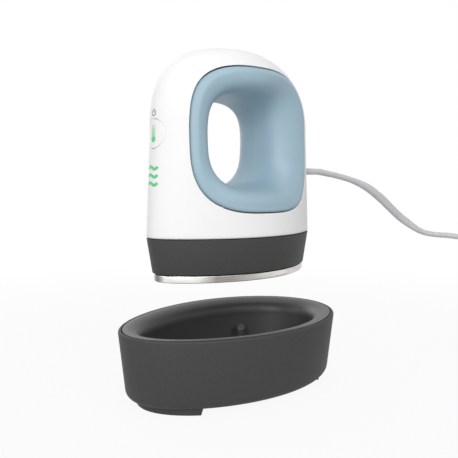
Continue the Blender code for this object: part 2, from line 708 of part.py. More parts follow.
def make_screw_set(name, places, seat_z, reach, sign, material):
    """Screws whose heads bear on seat_z, with shanks that run up (sign 1) or down (sign -1)."""
    dome = SCREW_HEAD_RADIUS * 0.75
    head = SCREW_HEAD_HEIGHT
    profile = [(dome, seat_z - sign * head), (SCREW_HEAD_RADIUS, seat_z - sign * head * 0.6),
               (SCREW_HEAD_RADIUS, seat_z), (SCREW_RADIUS, seat_z),
               (SCREW_RADIUS, seat_z + sign * (reach - SCREW_RADIUS)),
               (SCREW_RADIUS / 2, seat_z + sign * reach)]
    for number, (x, y) in enumerate(places, 1):
        screw = turned(f"{name}_{number}", profile, SCREW_SIDES, (x, y, 0))
        set_material(screw, material)


def make_press_screws(material):
    make_screw_set("housing_screw", four_ends(BOSS_SIDE_X, BOSS_END_Y), WEB_BOTTOM_Z - FACE_GAP,
                   WEB_THICKNESS + HOUSING_SCREW_REACH, 1, material)
    make_screw_set("plate_screw", four_corners(PLATE_BOSS_X, PLATE_BOSS_Y), WEB_TOP_Z + FACE_GAP,
                   WEB_THICKNESS + FACE_GAP + PLATE_SCREW_REACH, -1, material)


# Controls in the front column
def make_control_board(material):
    half = CONTROL_BOARD_HALF_WIDTH
    back = BOARD_FRONT_Y + CONTROL_BOARD_THICKNESS
    board = block("control_board", (-half, BOARD_FRONT_Y, CONTROL_BOARD_LOW_Z),
                  (half, back, CONTROL_BOARD_HIGH_Z))
    radius = BOARD_SCREW_RADIUS + SCREW_CLEARANCE
    for z in (CONTROL_BOARD_LOW_Z + STANDOFF_INSET, CONTROL_BOARD_HIGH_Z - STANDOFF_INSET):
        hole = turned("hole", [(radius, BOARD_FRONT_Y - CUT_OVERRUN), (radius, back + CUT_OVERRUN)],
                      POST_SIDES, (0, 0, z), "Y")
        combine(board, hole, "DIFFERENCE")
    return set_material(board, material)


def make_board_screws(material):
    seat = BOARD_FRONT_Y + CONTROL_BOARD_THICKNESS + FACE_GAP
    tip = seat - CONTROL_BOARD_THICKNESS - BOARD_SCREW_REACH
    profile = [(BOARD_SCREW_RADIUS / 2, tip), (BOARD_SCREW_RADIUS, tip + BOARD_SCREW_RADIUS),
               (BOARD_SCREW_RADIUS, seat), (BOARD_SCREW_HEAD_RADIUS, seat),
               (BOARD_SCREW_HEAD_RADIUS, seat + BOARD_SCREW_HEAD_HEIGHT)]
    levels = (CONTROL_BOARD_LOW_Z + STANDOFF_INSET, CONTROL_BOARD_HIGH_Z - STANDOFF_INSET)
    for number, z in enumerate(levels, 1):
        screw = turned(f"board_screw_{number}", profile, SCREW_SIDES, (0, 0, z), "Y")
        set_material(screw, material)


def make_switch(material):
    half = SWITCH_HALF_WIDTH
    seat = BOARD_FRONT_Y - FACE_GAP
    front = seat - SWITCH_BODY_DEPTH
    body = block("tact_switch", (-half, front, BUTTON_CENTRE_Z - half), (half, seat, BUTTON_CENTRE_Z + half))
    plunger = turned("plunger", [(SWITCH_PLUNGER_RADIUS, front - SWITCH_PLUNGER_DEPTH),
                                 (SWITCH_PLUNGER_RADIUS, front + SUNK_DEPTH)],
                     POST_SIDES, (0, 0, BUTTON_CENTRE_Z), "Y")
    combine(body, plunger, "UNION")
    return set_material(body, material)


def make_leds(material):
    seat = BOARD_FRONT_Y - FACE_GAP
    half = LED_HALF_WIDTH
    levels = [WAVE_CENTRE_Z - WAVE_PITCH, WAVE_CENTRE_Z, WAVE_CENTRE_Z + WAVE_PITCH,
              BUTTON_CENTRE_Z + LED_OFFSET_Z]
    for number, z in enumerate(levels, 1):
        led = block(f"indicator_light_{number}", (-half, seat - LED_DEPTH, z - half), (half, seat, z + half))
        set_material(led, material)


def make_light_guide(material):
    """A clear bar between the lights and the front wall, rounded like the wall."""
    back = BOARD_FRONT_Y - 2 * FACE_GAP - LED_DEPTH
    low = WAVE_CENTRE_Z - GUIDE_HALF_HEIGHT
    high = WAVE_CENTRE_Z + GUIDE_HALF_HEIGHT
    half_length, half_width, narrowing_share = housing_section(high, HOUSING_WALL + FACE_GAP)
    steps = 6
    front = []
    for index in range(steps + 1):
        x = GUIDE_HALF_WIDTH * (2 * index / steps - 1)
        lean = x / (half_width * (1 - narrowing_share))
        front.append((x, -half_length * math.sqrt(1 - lean * lean)))
    outline = front + [(GUIDE_HALF_WIDTH, back), (-GUIDE_HALF_WIDTH, back)]
    guide = loft_object("light_guide", [[(x, y, z) for x, y in outline] for z in (low, high)])
    return set_material(guide, material)


def make_button(material):
    """Round cap cut from the housing's own outer form, with two tabs behind the wall."""
    centre = (0, 0, BUTTON_CENTRE_Z)
    span = [(BUTTON_RADIUS, -HOUSING_HALF_LENGTH - CUT_OVERRUN), (BUTTON_RADIUS, BUTTON_BACK_Y)]
    cap = turned("button", span, BUTTON_SIDES, centre, "Y")
    form = loft_object("form", housing_rings(0.0, 2 * HOUSING_SIDES))
    combine(cap, form, "INTERSECT")
    reach = BUTTON_RADIUS + BUTTON_TAB_REACH
    front = BUTTON_BACK_Y - BUTTON_TAB_SINK
    tab = block("tab", (-BUTTON_TAB_HALF_WIDTH, front, BUTTON_CENTRE_Z - reach),
                (BUTTON_TAB_HALF_WIDTH, front + BUTTON_TAB_THICKNESS, BUTTON_CENTRE_Z + reach))
    combine(cap, tab, "UNION")
    offset = Vector((0, BUTTON_BACK_Y, BUTTON_CENTRE_Z))
    cap.data.transform(Matrix.Translation(-offset))
    cap.location = offset
    return set_material(cap, material)


def sleeve_end_y():
    """Where the sleeve ends, before the press is set in its place."""
    return -front_y(CORD_EXIT_Z) + FACE_GAP + SLEEVE_OUTER_LENGTH


def make_strain_relief(material):
    """Tapered sleeve: tail and flange inside the wall, the taper outside it."""
    outer_y = -front_y(CORD_EXIT_Z) + FACE_GAP
    flange_y = outer_y - FACE_GAP - HOUSING_WALL - SLEEVE_FLANGE_SETBACK
    flange_back_y = flange_y - SLEEVE_FLANGE_THICKNESS
    profile = [(SLEEVE_END_RADIUS, flange_back_y - SLEEVE_INNER_LENGTH), (SLEEVE_NECK_RADIUS, flange_back_y),
               (SLEEVE_FLANGE_RADIUS, flange_back_y), (SLEEVE_FLANGE_RADIUS, flange_y),
               (SLEEVE_NECK_RADIUS, flange_y), (SLEEVE_NECK_RADIUS, outer_y),
               (SLEEVE_END_RADIUS, sleeve_end_y())]
    sleeve = turned("strain_relief", profile, POST_SIDES, (0, 0, CORD_EXIT_Z), "Y")
    return set_material(sleeve, material)


def set_press_in_place():
    """Moves every piece made so far, all of the press, from its own middle to where the press is held."""
    for piece in bpy.data.objects:
        if piece.location.length > 0:
            piece.location.y += PRESS_CENTRE_Y
        else:
            piece.data.transform(Matrix.Translation((0, PRESS_CENTRE_Y, 0)))


# Pieces of the stand
def make_tub(material):
    """Outer tub on two feet, its lower edge rounded and its rim lipped."""
    lean_per_height = TUB_LEAN / (RIM_Z - TUB_FLOOR_Z)
    outer = []
    edge_rows = 4
    for row in range(edge_rows + 1):
        turn = math.pi / 2 * row / edge_rows
        z = TUB_FLOOR_Z + TUB_EDGE_ROUND * (1 - math.cos(turn))
        outer.append((TUB_EDGE_ROUND * (1 - math.sin(turn)) + lean_per_height * (RIM_Z - z), z))
    outer.append((TUB_LIP_ROUND * lean_per_height, RIM_Z - TUB_LIP_ROUND))
    outer.append((TUB_LIP_ROUND, RIM_Z))
    inner = [(TUB_WALL - TUB_LIP_ROUND / 2, RIM_Z), (TUB_WALL, RIM_Z - TUB_LIP_ROUND),
             (TUB_WALL + lean_per_height * (RIM_Z - TUB_INNER_FLOOR_Z), TUB_INNER_FLOOR_Z)]
    tub = loft_object("stand_tub", stand_rings(outer + inner, RIM_HALF_LENGTH, RIM_HALF_WIDTH))
    foot_top = TUB_FLOOR_Z + TUB_FLOOR / 2
    for side in (-1, 1):
        foot = oval_end("foot", FOOT_INSET, FOOT_LIFT, foot_top, FOOT_END_Y, side, FOOT_SLANT)
        recess = oval_end("recess", FOOT_INSET + PAD_INSET - FACE_GAP, FOOT_LIFT - CUT_OVERRUN,
                          FOOT_LIFT + PAD_RECESS + FACE_GAP, FOOT_END_Y + PAD_INSET - FACE_GAP, side)
        combine(foot, recess, "DIFFERENCE")
        combine(tub, foot, "UNION")
    for x, y in four_corners(POST_X, POST_Y):
        radius = SCREW_RADIUS + SCREW_CLEARANCE
        span = [(radius, TUB_FLOOR_Z - CUT_OVERRUN), (radius, TUB_INNER_FLOOR_Z + CUT_OVERRUN)]
        hole = turned("hole", span, POST_SIDES, (x, y, 0))
        combine(tub, hole, "DIFFERENCE")
    return set_material(tub, material)


def oval_end(name, inset, low_z, high_z, cut_y, side, slant=0.0):
    """One end of a foot's oval, beyond cut_y, between two heights. A slant cuts more off its bottom."""
    levels = [(TUB_LEAN + inset, z) for z in (low_z, high_z)]
    end = loft_object(name, stand_rings(levels, RIM_HALF_LENGTH - FOOT_TIP_INSET, RIM_HALF_WIDTH))
    rest = []
    for z, end_y in ((low_z - CUT_OVERRUN, cut_y + slant), (high_z + CUT_OVERRUN, cut_y)):
        corners = four_corners(RIM_HALF_LENGTH, RIM_HALF_LENGTH)
        rest.append([(x, side * min(y, end_y), z) for x, y in corners])
    return combine(end, loft_object("rest", rest), "DIFFERENCE")


def make_foot_pads(material):
    for name, side in (("foot_pad_front", -1), ("foot_pad_rear", 1)):
        pad = oval_end(name, FOOT_INSET + PAD_INSET, 0.0, PAD_THICKNESS, FOOT_END_Y + PAD_INSET, side)
        set_material(pad, material)


def roll_rows(thickness):
    """Insets and heights down the rolled rim, from its outer edge to the cavity's wall."""
    rows = []
    for row in range(ROLL_ROWS + 1):
        turn = math.pi / 2 * row / ROLL_ROWS
        in_share = math.sin(turn) ** ROLL_FLATNESS_SHARE
        fall_share = 1 - math.cos(turn) ** ROLL_FLATNESS_SHARE
        rows.append(((ROLL_LENGTH - thickness) * in_share,
                     RIM_Z - thickness - (ROLL_DEPTH - thickness) * fall_share))
    return rows


def make_liner(material):
    """Heat-proof liner: rolled rim, cavity wall and floor, and four dome-topped posts."""
    face = roll_rows(0.0)
    back = [(LINER_EDGE_HEIGHT / 2, RIM_Z - LINER_EDGE_HEIGHT)] + roll_rows(LINER_WALL)[2:]
    edge = [(0.0, RIM_Z - LINER_EDGE_HEIGHT)]
    inner = list(reversed(face))
    floor_inset = ROLL_LENGTH + LINER_DRAFT
    under = [(floor_inset - LINER_WALL, LINER_BOTTOM_Z)]
    profile = [(floor_inset, CAVITY_FLOOR_Z)] + inner + edge + back + under
    liner = loft_object("stand_liner", stand_rings(profile, LINER_HALF_LENGTH, LINER_HALF_WIDTH))
    for x, y in four_corners(POST_X, POST_Y):
        combine(liner, make_post(x, y), "UNION")
        radius = SCREW_RADIUS + SCREW_CLEARANCE
        top = TUB_FLOOR_Z + TUB_FLOOR + STAND_SCREW_REACH + FACE_GAP
        hole = turned("hole", [(radius, LINER_BOTTOM_Z - CUT_OVERRUN), (radius, top)], POST_SIDES, (x, y, 0))
        combine(liner, hole, "DIFFERENCE")
    return set_material(liner, material)


def make_post(x, y):
    dome = [(POST_RADIUS, LINER_BOTTOM_Z + LINER_FLOOR / 2)]
    dome_z = POST_TOP_Z - POST_RADIUS
    dome_rows = 5
    for row in range(dome_rows):
        turn = math.pi / 2 * row / dome_rows
        dome.append((POST_RADIUS * math.cos(turn), dome_z + POST_RADIUS * math.sin(turn)))
    dome.append((POST_RADIUS / 12, POST_TOP_Z))
    post = turned("post", dome, POST_SIDES, (x, y, 0))
    wall_inset = ROLL_LENGTH - LINER_WALL / 2
    wall_x = oval_half_width(y, LINER_HALF_LENGTH - wall_inset, LINER_HALF_WIDTH - wall_inset,
                             STAND_NARROWING_SHARE, STAND_WIDENING_SHARE)
    wall_x = math.copysign(wall_x, x)
    rib = block("rib", (min(x, wall_x), y - POST_RIB_HALF_WIDTH, LINER_BOTTOM_Z + LINER_FLOOR / 2),
                (max(x, wall_x), y + POST_RIB_HALF_WIDTH, POST_TOP_Z - POST_RIB_DROP))
    return combine(post, rib, "UNION")


# Cord, coil, tie and plug
def coil_centre():
    """The coil's outer turn touches the inside of the arc that the cord comes down on."""
    turn = math.radians(COIL_START_DEGREES)
    reach = CORD_ARC_RADIUS - COIL_OUTER_RADIUS
    return CORD_ARC_RADIUS + reach * math.cos(turn), CORD_ARC_CENTRE_Y + reach * math.sin(turn)


def coil_lead():
    """Where the coil begins, and the way the cord runs there."""
    turn = math.radians(COIL_START_DEGREES)
    centre_x, centre_y = coil_centre()
    start = Vector((centre_x + COIL_OUTER_RADIUS * math.cos(turn),
                    centre_y + COIL_OUTER_RADIUS * math.sin(turn), COIL_LOW_Z))
    return start, Vector((math.sin(turn), -math.cos(turn), 0))


def coil_points():
    """One wound length: in along the lower layer, up a layer, and out along the upper one."""
    centre_x, centre_y = coil_centre()
    reverse_turns = (COIL_OUTER_RADIUS - COIL_INNER_RADIUS) / COIL_PITCH
    total = reverse_turns + COIL_OUT_TURNS
    start, heading = coil_lead()
    points = [start, start + heading * 2 * CORD_RADIUS]
    count = round(total * COIL_POINTS_PER_TURN)
    for index in range(2, count + 1):
        turns = total * index / count
        climb = min(max((turns - reverse_turns) / COIL_CLIMB_TURNS + 0.5, 0), 1)
        z = COIL_LOW_Z + COIL_LAYER_RISE * (1 - math.cos(math.pi * climb)) / 2
        radius = COIL_INNER_RADIUS + COIL_PITCH * abs(turns - reverse_turns)
        angle = math.radians(COIL_START_DEGREES) - math.tau * turns
        points.append(Vector((centre_x + radius * math.cos(angle), centre_y + radius * math.sin(angle), z)))
    heading = (points[-1] - points[-2]).normalized()
    points.append(points[-1] + heading * COIL_TAIL)
    return points


def cord_route():
    """Straight back from the press, then round an arc that starts in line with it."""
    route = [Vector((0, y, z)) for y, z in CORD_STRAIGHT_LEVELS]
    for degrees, z in CORD_ARC_LEVELS:
        turn = math.radians(degrees)
        route.append(Vector((CORD_ARC_RADIUS * (1 + math.cos(turn)),
                             CORD_ARC_CENTRE_Y + CORD_ARC_RADIUS * math.sin(turn), z)))
    return route


def drop_points():
    """Free stretch: straight out of the sleeve, along the route, straight into the coil."""
    start = Vector((0, PRESS_CENTRE_Y + sleeve_end_y() + FACE_GAP, CORD_EXIT_Z))
    end, heading = coil_lead()
    end = end - heading * FACE_GAP
    start_stub = start + Vector((0, 2 * CORD_RADIUS, 0))
    end_stub = end - heading * 2 * CORD_RADIUS
    route = [start_stub] + cord_route() + [end_stub]
    return [start] + smooth_path(route, CORD_SAMPLE_STEP) + [end]


def least_coil_gap(points):
    """Smallest distance between the tube's surface and itself, over stretches that aren't neighbours."""
    least = math.inf
    skip = COIL_POINTS_PER_TURN // 2
    for index, start in enumerate(points):
        for other in range(index + skip, len(points) - 1):
            span = points[other + 1] - points[other]
            share = min(max((start - points[other]).dot(span) / span.length_squared, 0), 1)
            least = min(least, (start - points[other] - span * share).length)
    return least - 2 * CORD_RADIUS


def make_cord(material):
    drop = tube("cord_drop", drop_points(), CORD_RADIUS, 2)
    drop.data.materials.append(material)
    points = coil_points()
    print("least gap of the coil to itself, mm:", round(least_coil_gap(points) * 1000, 3))
    coil = tube("cord_coil", points, CORD_RADIUS, 1)
    coil.data.materials.append(material)
    return drop, coil


def rounded_rectangle(half_width, half_height, corner, steps=3):
    points = []
    for quadrant in range(4):
        sign_x = 1 if quadrant in (0, 3) else -1
        sign_y = 1 if quadrant in (0, 1) else -1
        for index in range(steps + 1):
            angle = math.pi / 2 * (quadrant + index / steps)
            points.append((sign_x * (half_width - corner) + corner * math.cos(angle),
                           sign_y * (half_height - corner) + corner * math.sin(angle)))
    return points


def make_tie(material):
    """Flat strap round the coil's section."""
    low_z = 0.0
    high_z = COIL_HIGH_Z + CORD_RADIUS + TIE_CLEARANCE + TIE_THICKNESS
    inner_edge = COIL_INNER_RADIUS - CORD_RADIUS - TIE_CLEARANCE - TIE_THICKNESS
    outer_edge = COIL_OUTER_RADIUS + CORD_RADIUS + TIE_CLEARANCE + TIE_THICKNESS
    middle_radius = (inner_edge + outer_edge) / 2
    middle_z = (low_z + high_z) / 2
    outer = rounded_rectangle((outer_edge - inner_edge) / 2, middle_z - low_z, TIE_ROUND)
    inner = rounded_rectangle((outer_edge - inner_edge) / 2 - TIE_THICKNESS, middle_z - low_z - TIE_THICKNESS,
                              TIE_ROUND - TIE_THICKNESS)
    rings = []
    for outline, offset in ((outer, -TIE_HALF_WIDTH), (outer, TIE_HALF_WIDTH), (inner, TIE_HALF_WIDTH),
                            (inner, -TIE_HALF_WIDTH)):
        rings.append([(middle_radius + along, offset, middle_z + up) for along, up in outline])
    tie = loft_object("cord_tie", rings, closed=True)
    centre_x, centre_y = coil_centre()
    turn = Matrix.Rotation(math.radians(TIE_DEGREES), 4, "Z")
    tie.data.transform(Matrix.Translation(Vector((centre_x, centre_y, 0))) @ turn)
    return set_material(tie, material)


def make_plug(material, blade_material):
    """Two-blade plug lying beside the coil, in line with the cord's tail."""
    points = coil_points()
    heading = points[-1] - points[-2]
    heading.z = 0
    heading.normalize()
    half_height = points[-1].z
    start = points[-1] + heading * FACE_GAP
    sleeve_end = PLUG_SLEEVE_LENGTH
    body_end = PLUG_SLEEVE_LENGTH + PLUG_LENGTH
    round_sleeve = PLUG_SLEEVE_RADIUS * 0.999
    sections = [(0.0, PLUG_SLEEVE_RADIUS, PLUG_SLEEVE_RADIUS, round_sleeve),
                (sleeve_end * 0.8, PLUG_SLEEVE_RADIUS * 1.3, PLUG_SLEEVE_RADIUS * 1.3, round_sleeve),
                (sleeve_end, PLUG_HALF_WIDTH - 2 * PLUG_TAPER, half_height - PLUG_TAPER, PLUG_ROUND),
                (sleeve_end + PLUG_ROUND, PLUG_HALF_WIDTH - PLUG_TAPER, half_height - PLUG_TAPER / 2,
                 PLUG_ROUND),
                (sleeve_end + PLUG_LENGTH / 2, PLUG_HALF_WIDTH, half_height, PLUG_ROUND),
                (body_end - PLUG_TAPER / 2, PLUG_HALF_WIDTH, half_height, PLUG_ROUND),
                (body_end, PLUG_HALF_WIDTH - PLUG_TAPER / 2, half_height - PLUG_TAPER / 2, PLUG_ROUND)]
    rings = [[(across, along, up) for across, up in rounded_rectangle(half_width, half_tall, corner)]
             for along, half_width, half_tall, corner in sections]
    plug = loft_object("plug_body", rings)
    turn = Matrix.Rotation(math.atan2(heading.y, heading.x) - math.pi / 2, 4, "Z")
    place = Matrix.Translation(start) @ turn
    plug.data.transform(place)
    set_material(plug, material)
    for name, side in (("plug_blade_left", -1), ("plug_blade_right", 1)):
        middle = side * BLADE_SPACING / 2
        blade = block(name, (middle - BLADE_THICKNESS / 2, body_end + FACE_GAP, -BLADE_HALF_HEIGHT),
                      (middle + BLADE_THICKNESS / 2, body_end + BLADE_LENGTH, BLADE_HALF_HEIGHT))
        blade.data.transform(place)
        set_material(blade, blade_material)


def main():
    clear_scene()
    white = make_material("white_shell", (0.86, 0.86, 0.86), 0.28)
    blue = make_material("soft_grip", (0.40, 0.56, 0.64), 0.62)
    charcoal = make_material("charcoal", (0.062, 0.062, 0.064), 0.58)
    aluminium = make_material("plate_metal", (0.72, 0.71, 0.69), 0.30, 1.0)
    steel = make_material("steel", (0.56, 0.57, 0.58), 0.34, 1.0)
    sheath = make_material("element_sheath", (0.34, 0.33, 0.31), 0.45, 1.0)
    mica = make_material("mica", (0.62, 0.54, 0.40), 0.70)
    ceramic = make_material("ceramic", (0.72, 0.70, 0.64), 0.55)
    green_board = make_material("board_green", (0.05, 0.22, 0.10), 0.50)
    black = make_material("black_plastic", (0.02, 0.02, 0.02), 0.50)
    green_light = make_material("green_light", (0.25, 0.75, 0.42), 0.35)
    clear = make_material("clear_guide", (0.80, 0.82, 0.82), 0.15)
    rubber = make_material("foot_rubber", (0.03, 0.03, 0.03), 0.80)
    cord = make_material("cord_grey", (0.58, 0.58, 0.60), 0.45)
    tie = make_material("tie_dark", (0.05, 0.05, 0.05), 0.60)
    make_housing(white)
    make_grip("grip_right", 1, blue)
    make_grip("grip_left", -1, blue)
    make_skirt(charcoal)
    make_soleplate(aluminium)
    make_heating_element(sheath)
    make_insulation_board(mica)
    make_thermal_parts(steel, ceramic)
    make_press_screws(steel)
    make_control_board(green_board)
    make_board_screws(steel)
    make_switch(black)
    make_leds(green_light)
    make_light_guide(clear)
    make_button(white)
    make_strain_relief(cord)
    set_press_in_place()
    make_tub(charcoal)
    make_liner(charcoal)
    make_foot_pads(rubber)
    make_screw_set("stand_screw", four_corners(POST_X, POST_Y), TUB_FLOOR_Z - FACE_GAP,
                   TUB_FLOOR + STAND_SCREW_REACH, 1, steel)
    make_cord(cord)
    make_tie(tie)
    make_plug(cord, steel)


main()
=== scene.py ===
# Looks of the mini heat press: fine skins, materials, marks, cord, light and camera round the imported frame.
# Metres, +Z up. Y runs from the button end (-Y) to the cord end (+Y), X is sideways.
import json
import math

import bmesh
import bpy
from mathutils import Matrix, Vector


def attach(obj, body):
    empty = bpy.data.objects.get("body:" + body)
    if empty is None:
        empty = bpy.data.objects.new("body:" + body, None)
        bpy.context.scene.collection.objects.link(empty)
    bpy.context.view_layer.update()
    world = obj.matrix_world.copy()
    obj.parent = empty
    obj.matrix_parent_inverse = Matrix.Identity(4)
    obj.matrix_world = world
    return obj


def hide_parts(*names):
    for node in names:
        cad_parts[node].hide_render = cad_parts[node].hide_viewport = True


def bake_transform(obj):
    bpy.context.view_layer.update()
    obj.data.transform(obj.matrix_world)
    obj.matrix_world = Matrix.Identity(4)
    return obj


# Camera, as fitted to the photograph
CAMERA_PLACE = (0.19317, -0.16329, 0.09201)
CAMERA_AZIMUTH_DEGREES = 50.00
CAMERA_PITCH_DEGREES = 4.461
CAMERA_LENS_MM = 43.561
CAMERA_SENSOR_MM = 36.0
CAMERA_CLIP_START = 0.01

# Press: heights, half sizes, how the oval narrows towards its tips and how the crown falls to the rear
PRESS_CENTRE_Y = 0.00125
PLATE_BOTTOM_Z = 0.0522
PLATE_TOP_Z = 0.0552
PLATE_HALF_LENGTH = 0.0413
PLATE_HALF_WIDTH = 0.0232
PLATE_LOW_ROUND = 0.0005
PLATE_TOP_ROUND = 0.0004
PLATE_FACE_NORMAL_Z = -0.6
SKIRT_BOTTOM_Z = 0.0555
SEAM_Z = 0.0705
SKIRT_HALF_LENGTH = 0.0419
SKIRT_HALF_WIDTH = 0.0238
SKIRT_EDGE_ROUND = 0.00035
SKIRT_WALL = 0.0022
HOUSING_HALF_LENGTH = 0.04445
HOUSING_HALF_WIDTH = 0.0261
HOUSING_WALL = 0.0022
HOUSING_TOP_Z = 0.1510
LENGTH_TAPER = 0.0022
LENGTH_SHOULDER_Z = 0.11576
WIDTH_TAPER = 0.0015
WIDTH_SHOULDER_Z = 0.11475
LENGTH_SHOULDER_POWER_SHARE = 2.4
WIDTH_SHOULDER_POWER_SHARE = 2.9
PRESS_NARROWING_SHARE = 0.214
TOP_NARROWING_SHARE = 0.16
CROWN_SLOPE_SHARE = 0.055
FACE_GAP = 0.0003

# Handle hole
GRIP_CENTRE = (-0.0013, 0.11102)
GRIP_HALF = (0.0325, 0.0306)
GRIP_CORNER_SHARE = 3.24
THROAT_CENTRE = (-0.0049, 0.1111)
THROAT_HALF = (0.0171, 0.0189)
THROAT_CORNER_SHARE = 3.2
GRIP_GROOVE = 0.0005
GRIP_LIP = 0.0022
GRIP_LIP_SHARES = (0.25, 0.5, 0.75)
GRIP_ROLL_SHARE = 0.72
GRIP_ROUND = 0.0010
GRIP_RISE = 0.0003
GRIP_THICKNESS = 0.0020
PARTING_GAP = 0.0001
EDGE_ROUND = 0.0004
WINDOW_CUT_SHARE = 0.98
SEAM_ROUND = 0.0008
SEAM_CLEAR_SHARE = 1.5
CROWN_CAP_HEIGHT = 0.0006
TOOL_START_SHARE = 0.6
TOOL_END_SHARE = 1.1

# Button and marks on the front
BUTTON_CENTRE_Z = 0.1130
BUTTON_RADIUS = 0.0059
BUTTON_GAP = 0.0003
BUTTON_DEPTH = 0.0030
BUTTON_EDGE_ROUND = 0.0003
BUTTON_FACE_SHARES = (0.02, 0.2, 0.4, 0.6, 0.8)
POWER_MARK_Z = 0.1214
POWER_MARK_RADIUS = 0.0012
POWER_MARK_STROKE = 0.00042
POWER_MARK_GAP_DEGREES = 38
POWER_BAR_SHARES = (0.1, 0.6, 1.3)
WAVE_COUNT = 3
WAVE_CENTRE_Z = 0.0960
WAVE_PITCH = 0.00325
WAVE_HALF_WIDTH = 0.0028
WAVE_HEIGHT = 0.00052
WAVE_STROKE = 0.00130
THERMOMETER_TOP_Z = 0.11645
THERMOMETER_BULB_Z = 0.1109
THERMOMETER_BULB_RADIUS = 0.00135
THERMOMETER_STEM_STROKE = 0.0022
THERMOMETER_CORE_STROKE = 0.0010
THERMOMETER_STEPS = 8
THERMOMETER_CORE_FIRST_STEP = 2
THERMOMETER_SPOT = 0.0001
MARK_HEIGHT = 0.00003
MARK_SINK = 0.00006
MARK_END_SHARE = 0.05

# Stand: its oval is a little wider towards the cord end
RIM_HALF_LENGTH = 0.0558
RIM_HALF_WIDTH = 0.0377
RIM_Z = 0.0321
STAND_NARROWING_SHARE = 0.043
STAND_WIDENING_SHARE = 0.098
TUB_FLOOR_Z = 0.0032
TUB_LEAN = 0.0031
TUB_EDGE_ROUND = 0.0036
TUB_WALL = 0.0015
TUB_FLOOR = 0.0022
TUB_LIP_ROUND = 0.0010
FOOT_INSET = 0.0021
FOOT_TIP_INSET = 0.0025
FOOT_END_Y = 0.0323
FOOT_SLANT = 0.0010
FOOT_SLANT_SHARE = 1.5
FOOT_LIFT = 0.0003
FOOT_EDGE_ROUND = 0.0004
RIM_GROOVE = 0.0003
ROLL_LENGTH = 0.0085
ROLL_DEPTH = 0.0085
ROLL_FLATNESS_SHARE = 0.75
LINER_FLOOR_Z = 0.0077
LINER_BOTTOM_Z = 0.0057
LINER_DRAFT = 0.0020
LINER_EDGE_HEIGHT = 0.0024
LINER_WALL = 0.0020
LINER_FILLET = 0.0020
POST_RADIUS = 0.00285
POST_TIP_RADIUS = POST_RADIUS / 20
POST_PLACE = (0.0195, 0.0232)
POST_TOP_Z = 0.0207
POST_RIB_HALF_WIDTH = 0.0020
POST_RIB_DROP = 0.0040
STAND_SHARP_DEGREES = 30

# Cord: its own section, and the route of the CAD model's cord
CORD_WIDTH = 0.0050
CORD_THICKNESS = 0.0031
CAD_CORD_RADIUS = 0.0022
CORD_EXIT = (0.0, 0.0559, 0.0993)
SLEEVE_START_Y = 0.0446
CORD_STEP = 0.0040
CORD_ARC_CENTRE_Y = 0.1320
CORD_ARC_RADIUS = 0.0600
COIL_START_DEGREES = 40
COIL_OUTER_RADIUS = 0.0352
COIL_INNER_RADIUS = 0.0172
COIL_PITCH = 0.0050
COIL_LOW_Z = 0.0033
COIL_LAYER_RISE = 0.0052
COIL_OUT_TURNS = 3.58
COIL_CLIMB_TURNS = 0.5
COIL_POINTS_PER_TURN = 36
COIL_TAIL = 0.0060
PLUG_HALF_WIDTH = 0.0120
PLUG_LENGTH = 0.0240
PLUG_WIDEST_SHARE = 0.5
PLUG_SLEEVE_LENGTH = 0.0140
PLUG_SLEEVE_RADIUS = 0.0032
PLUG_SLEEVE_SHARE = 0.8
PLUG_SLEEVE_FLARE_SHARE = 0.3
PLUG_SLEEVE_ROWS = (0, 0.25, 0.5, 0.75)
PLUG_EDGE_ROUND = 0.0020
PLUG_CORNER_SHARE = 3.6
ELLIPSE_CORNER_SHARE = 2
# Stations of the sleeve at the press: Y, then its width and thickness as shares of the cord's
SLEEVE_STATIONS = (
    (SLEEVE_START_Y - 0.0030, 1.14, 1.18),
    (SLEEVE_START_Y, 1.14, 1.18),
    (SLEEVE_START_Y + 0.0040, 1.09, 1.10),
    (CORD_EXIT[1] - 0.0006, 1.03, 1.04),
    (CORD_EXIT[1], 1.01, 1.02),
)
# Heights of the cord's free stretch: (Y, Z) straight back from the press, then (degrees, Z) round its arc
CORD_STRAIGHT_LEVELS = (
    (0.0650, 0.0987),
    (0.0750, 0.0974),
    (0.0890, 0.0948),
    (0.1030, 0.0907),
    (0.1160, 0.0845),
    (0.1240, 0.0798),
)
CORD_ARC_LEVELS = (
    (175, 0.0722),
    (160, 0.0639),
    (150, 0.0612),
    (140, 0.0604),
    (130, 0.0585),
    (120, 0.0540),
    (100, 0.0365),
    (80, 0.0180),
    (60, 0.0068),
    (50, 0.0042),
)
# How far the flat cord's wide side is turned up from level, by share of its free length
CORD_TWIST = ((0.0, 0), (0.10, 12), (0.25, 100), (0.33, 92), (0.47, 4), (0.53, 8), (0.61, 70), (1.0, 90))

# Painted reflections on the plate's polished edge: bright and dark tones by share of its length from the
# button end. The two ends come first.
PLATE_REFLECTION_TONES = (
    (0.0, (0.10, 0.10, 0.09)),
    (1.0, (0.38, 0.37, 0.35)),
    (0.014, (0.16, 0.15, 0.14)),
    (0.028, (0.96, 0.95, 0.92)),
    (0.15, (0.88, 0.86, 0.82)),
    (0.225, (0.34, 0.32, 0.29)),
    (0.30, (0.34, 0.32, 0.29)),
    (0.50, (0.66, 0.64, 0.61)),
    (0.62, (0.78, 0.77, 0.74)),
    (0.90, (0.46, 0.45, 0.43)),
)

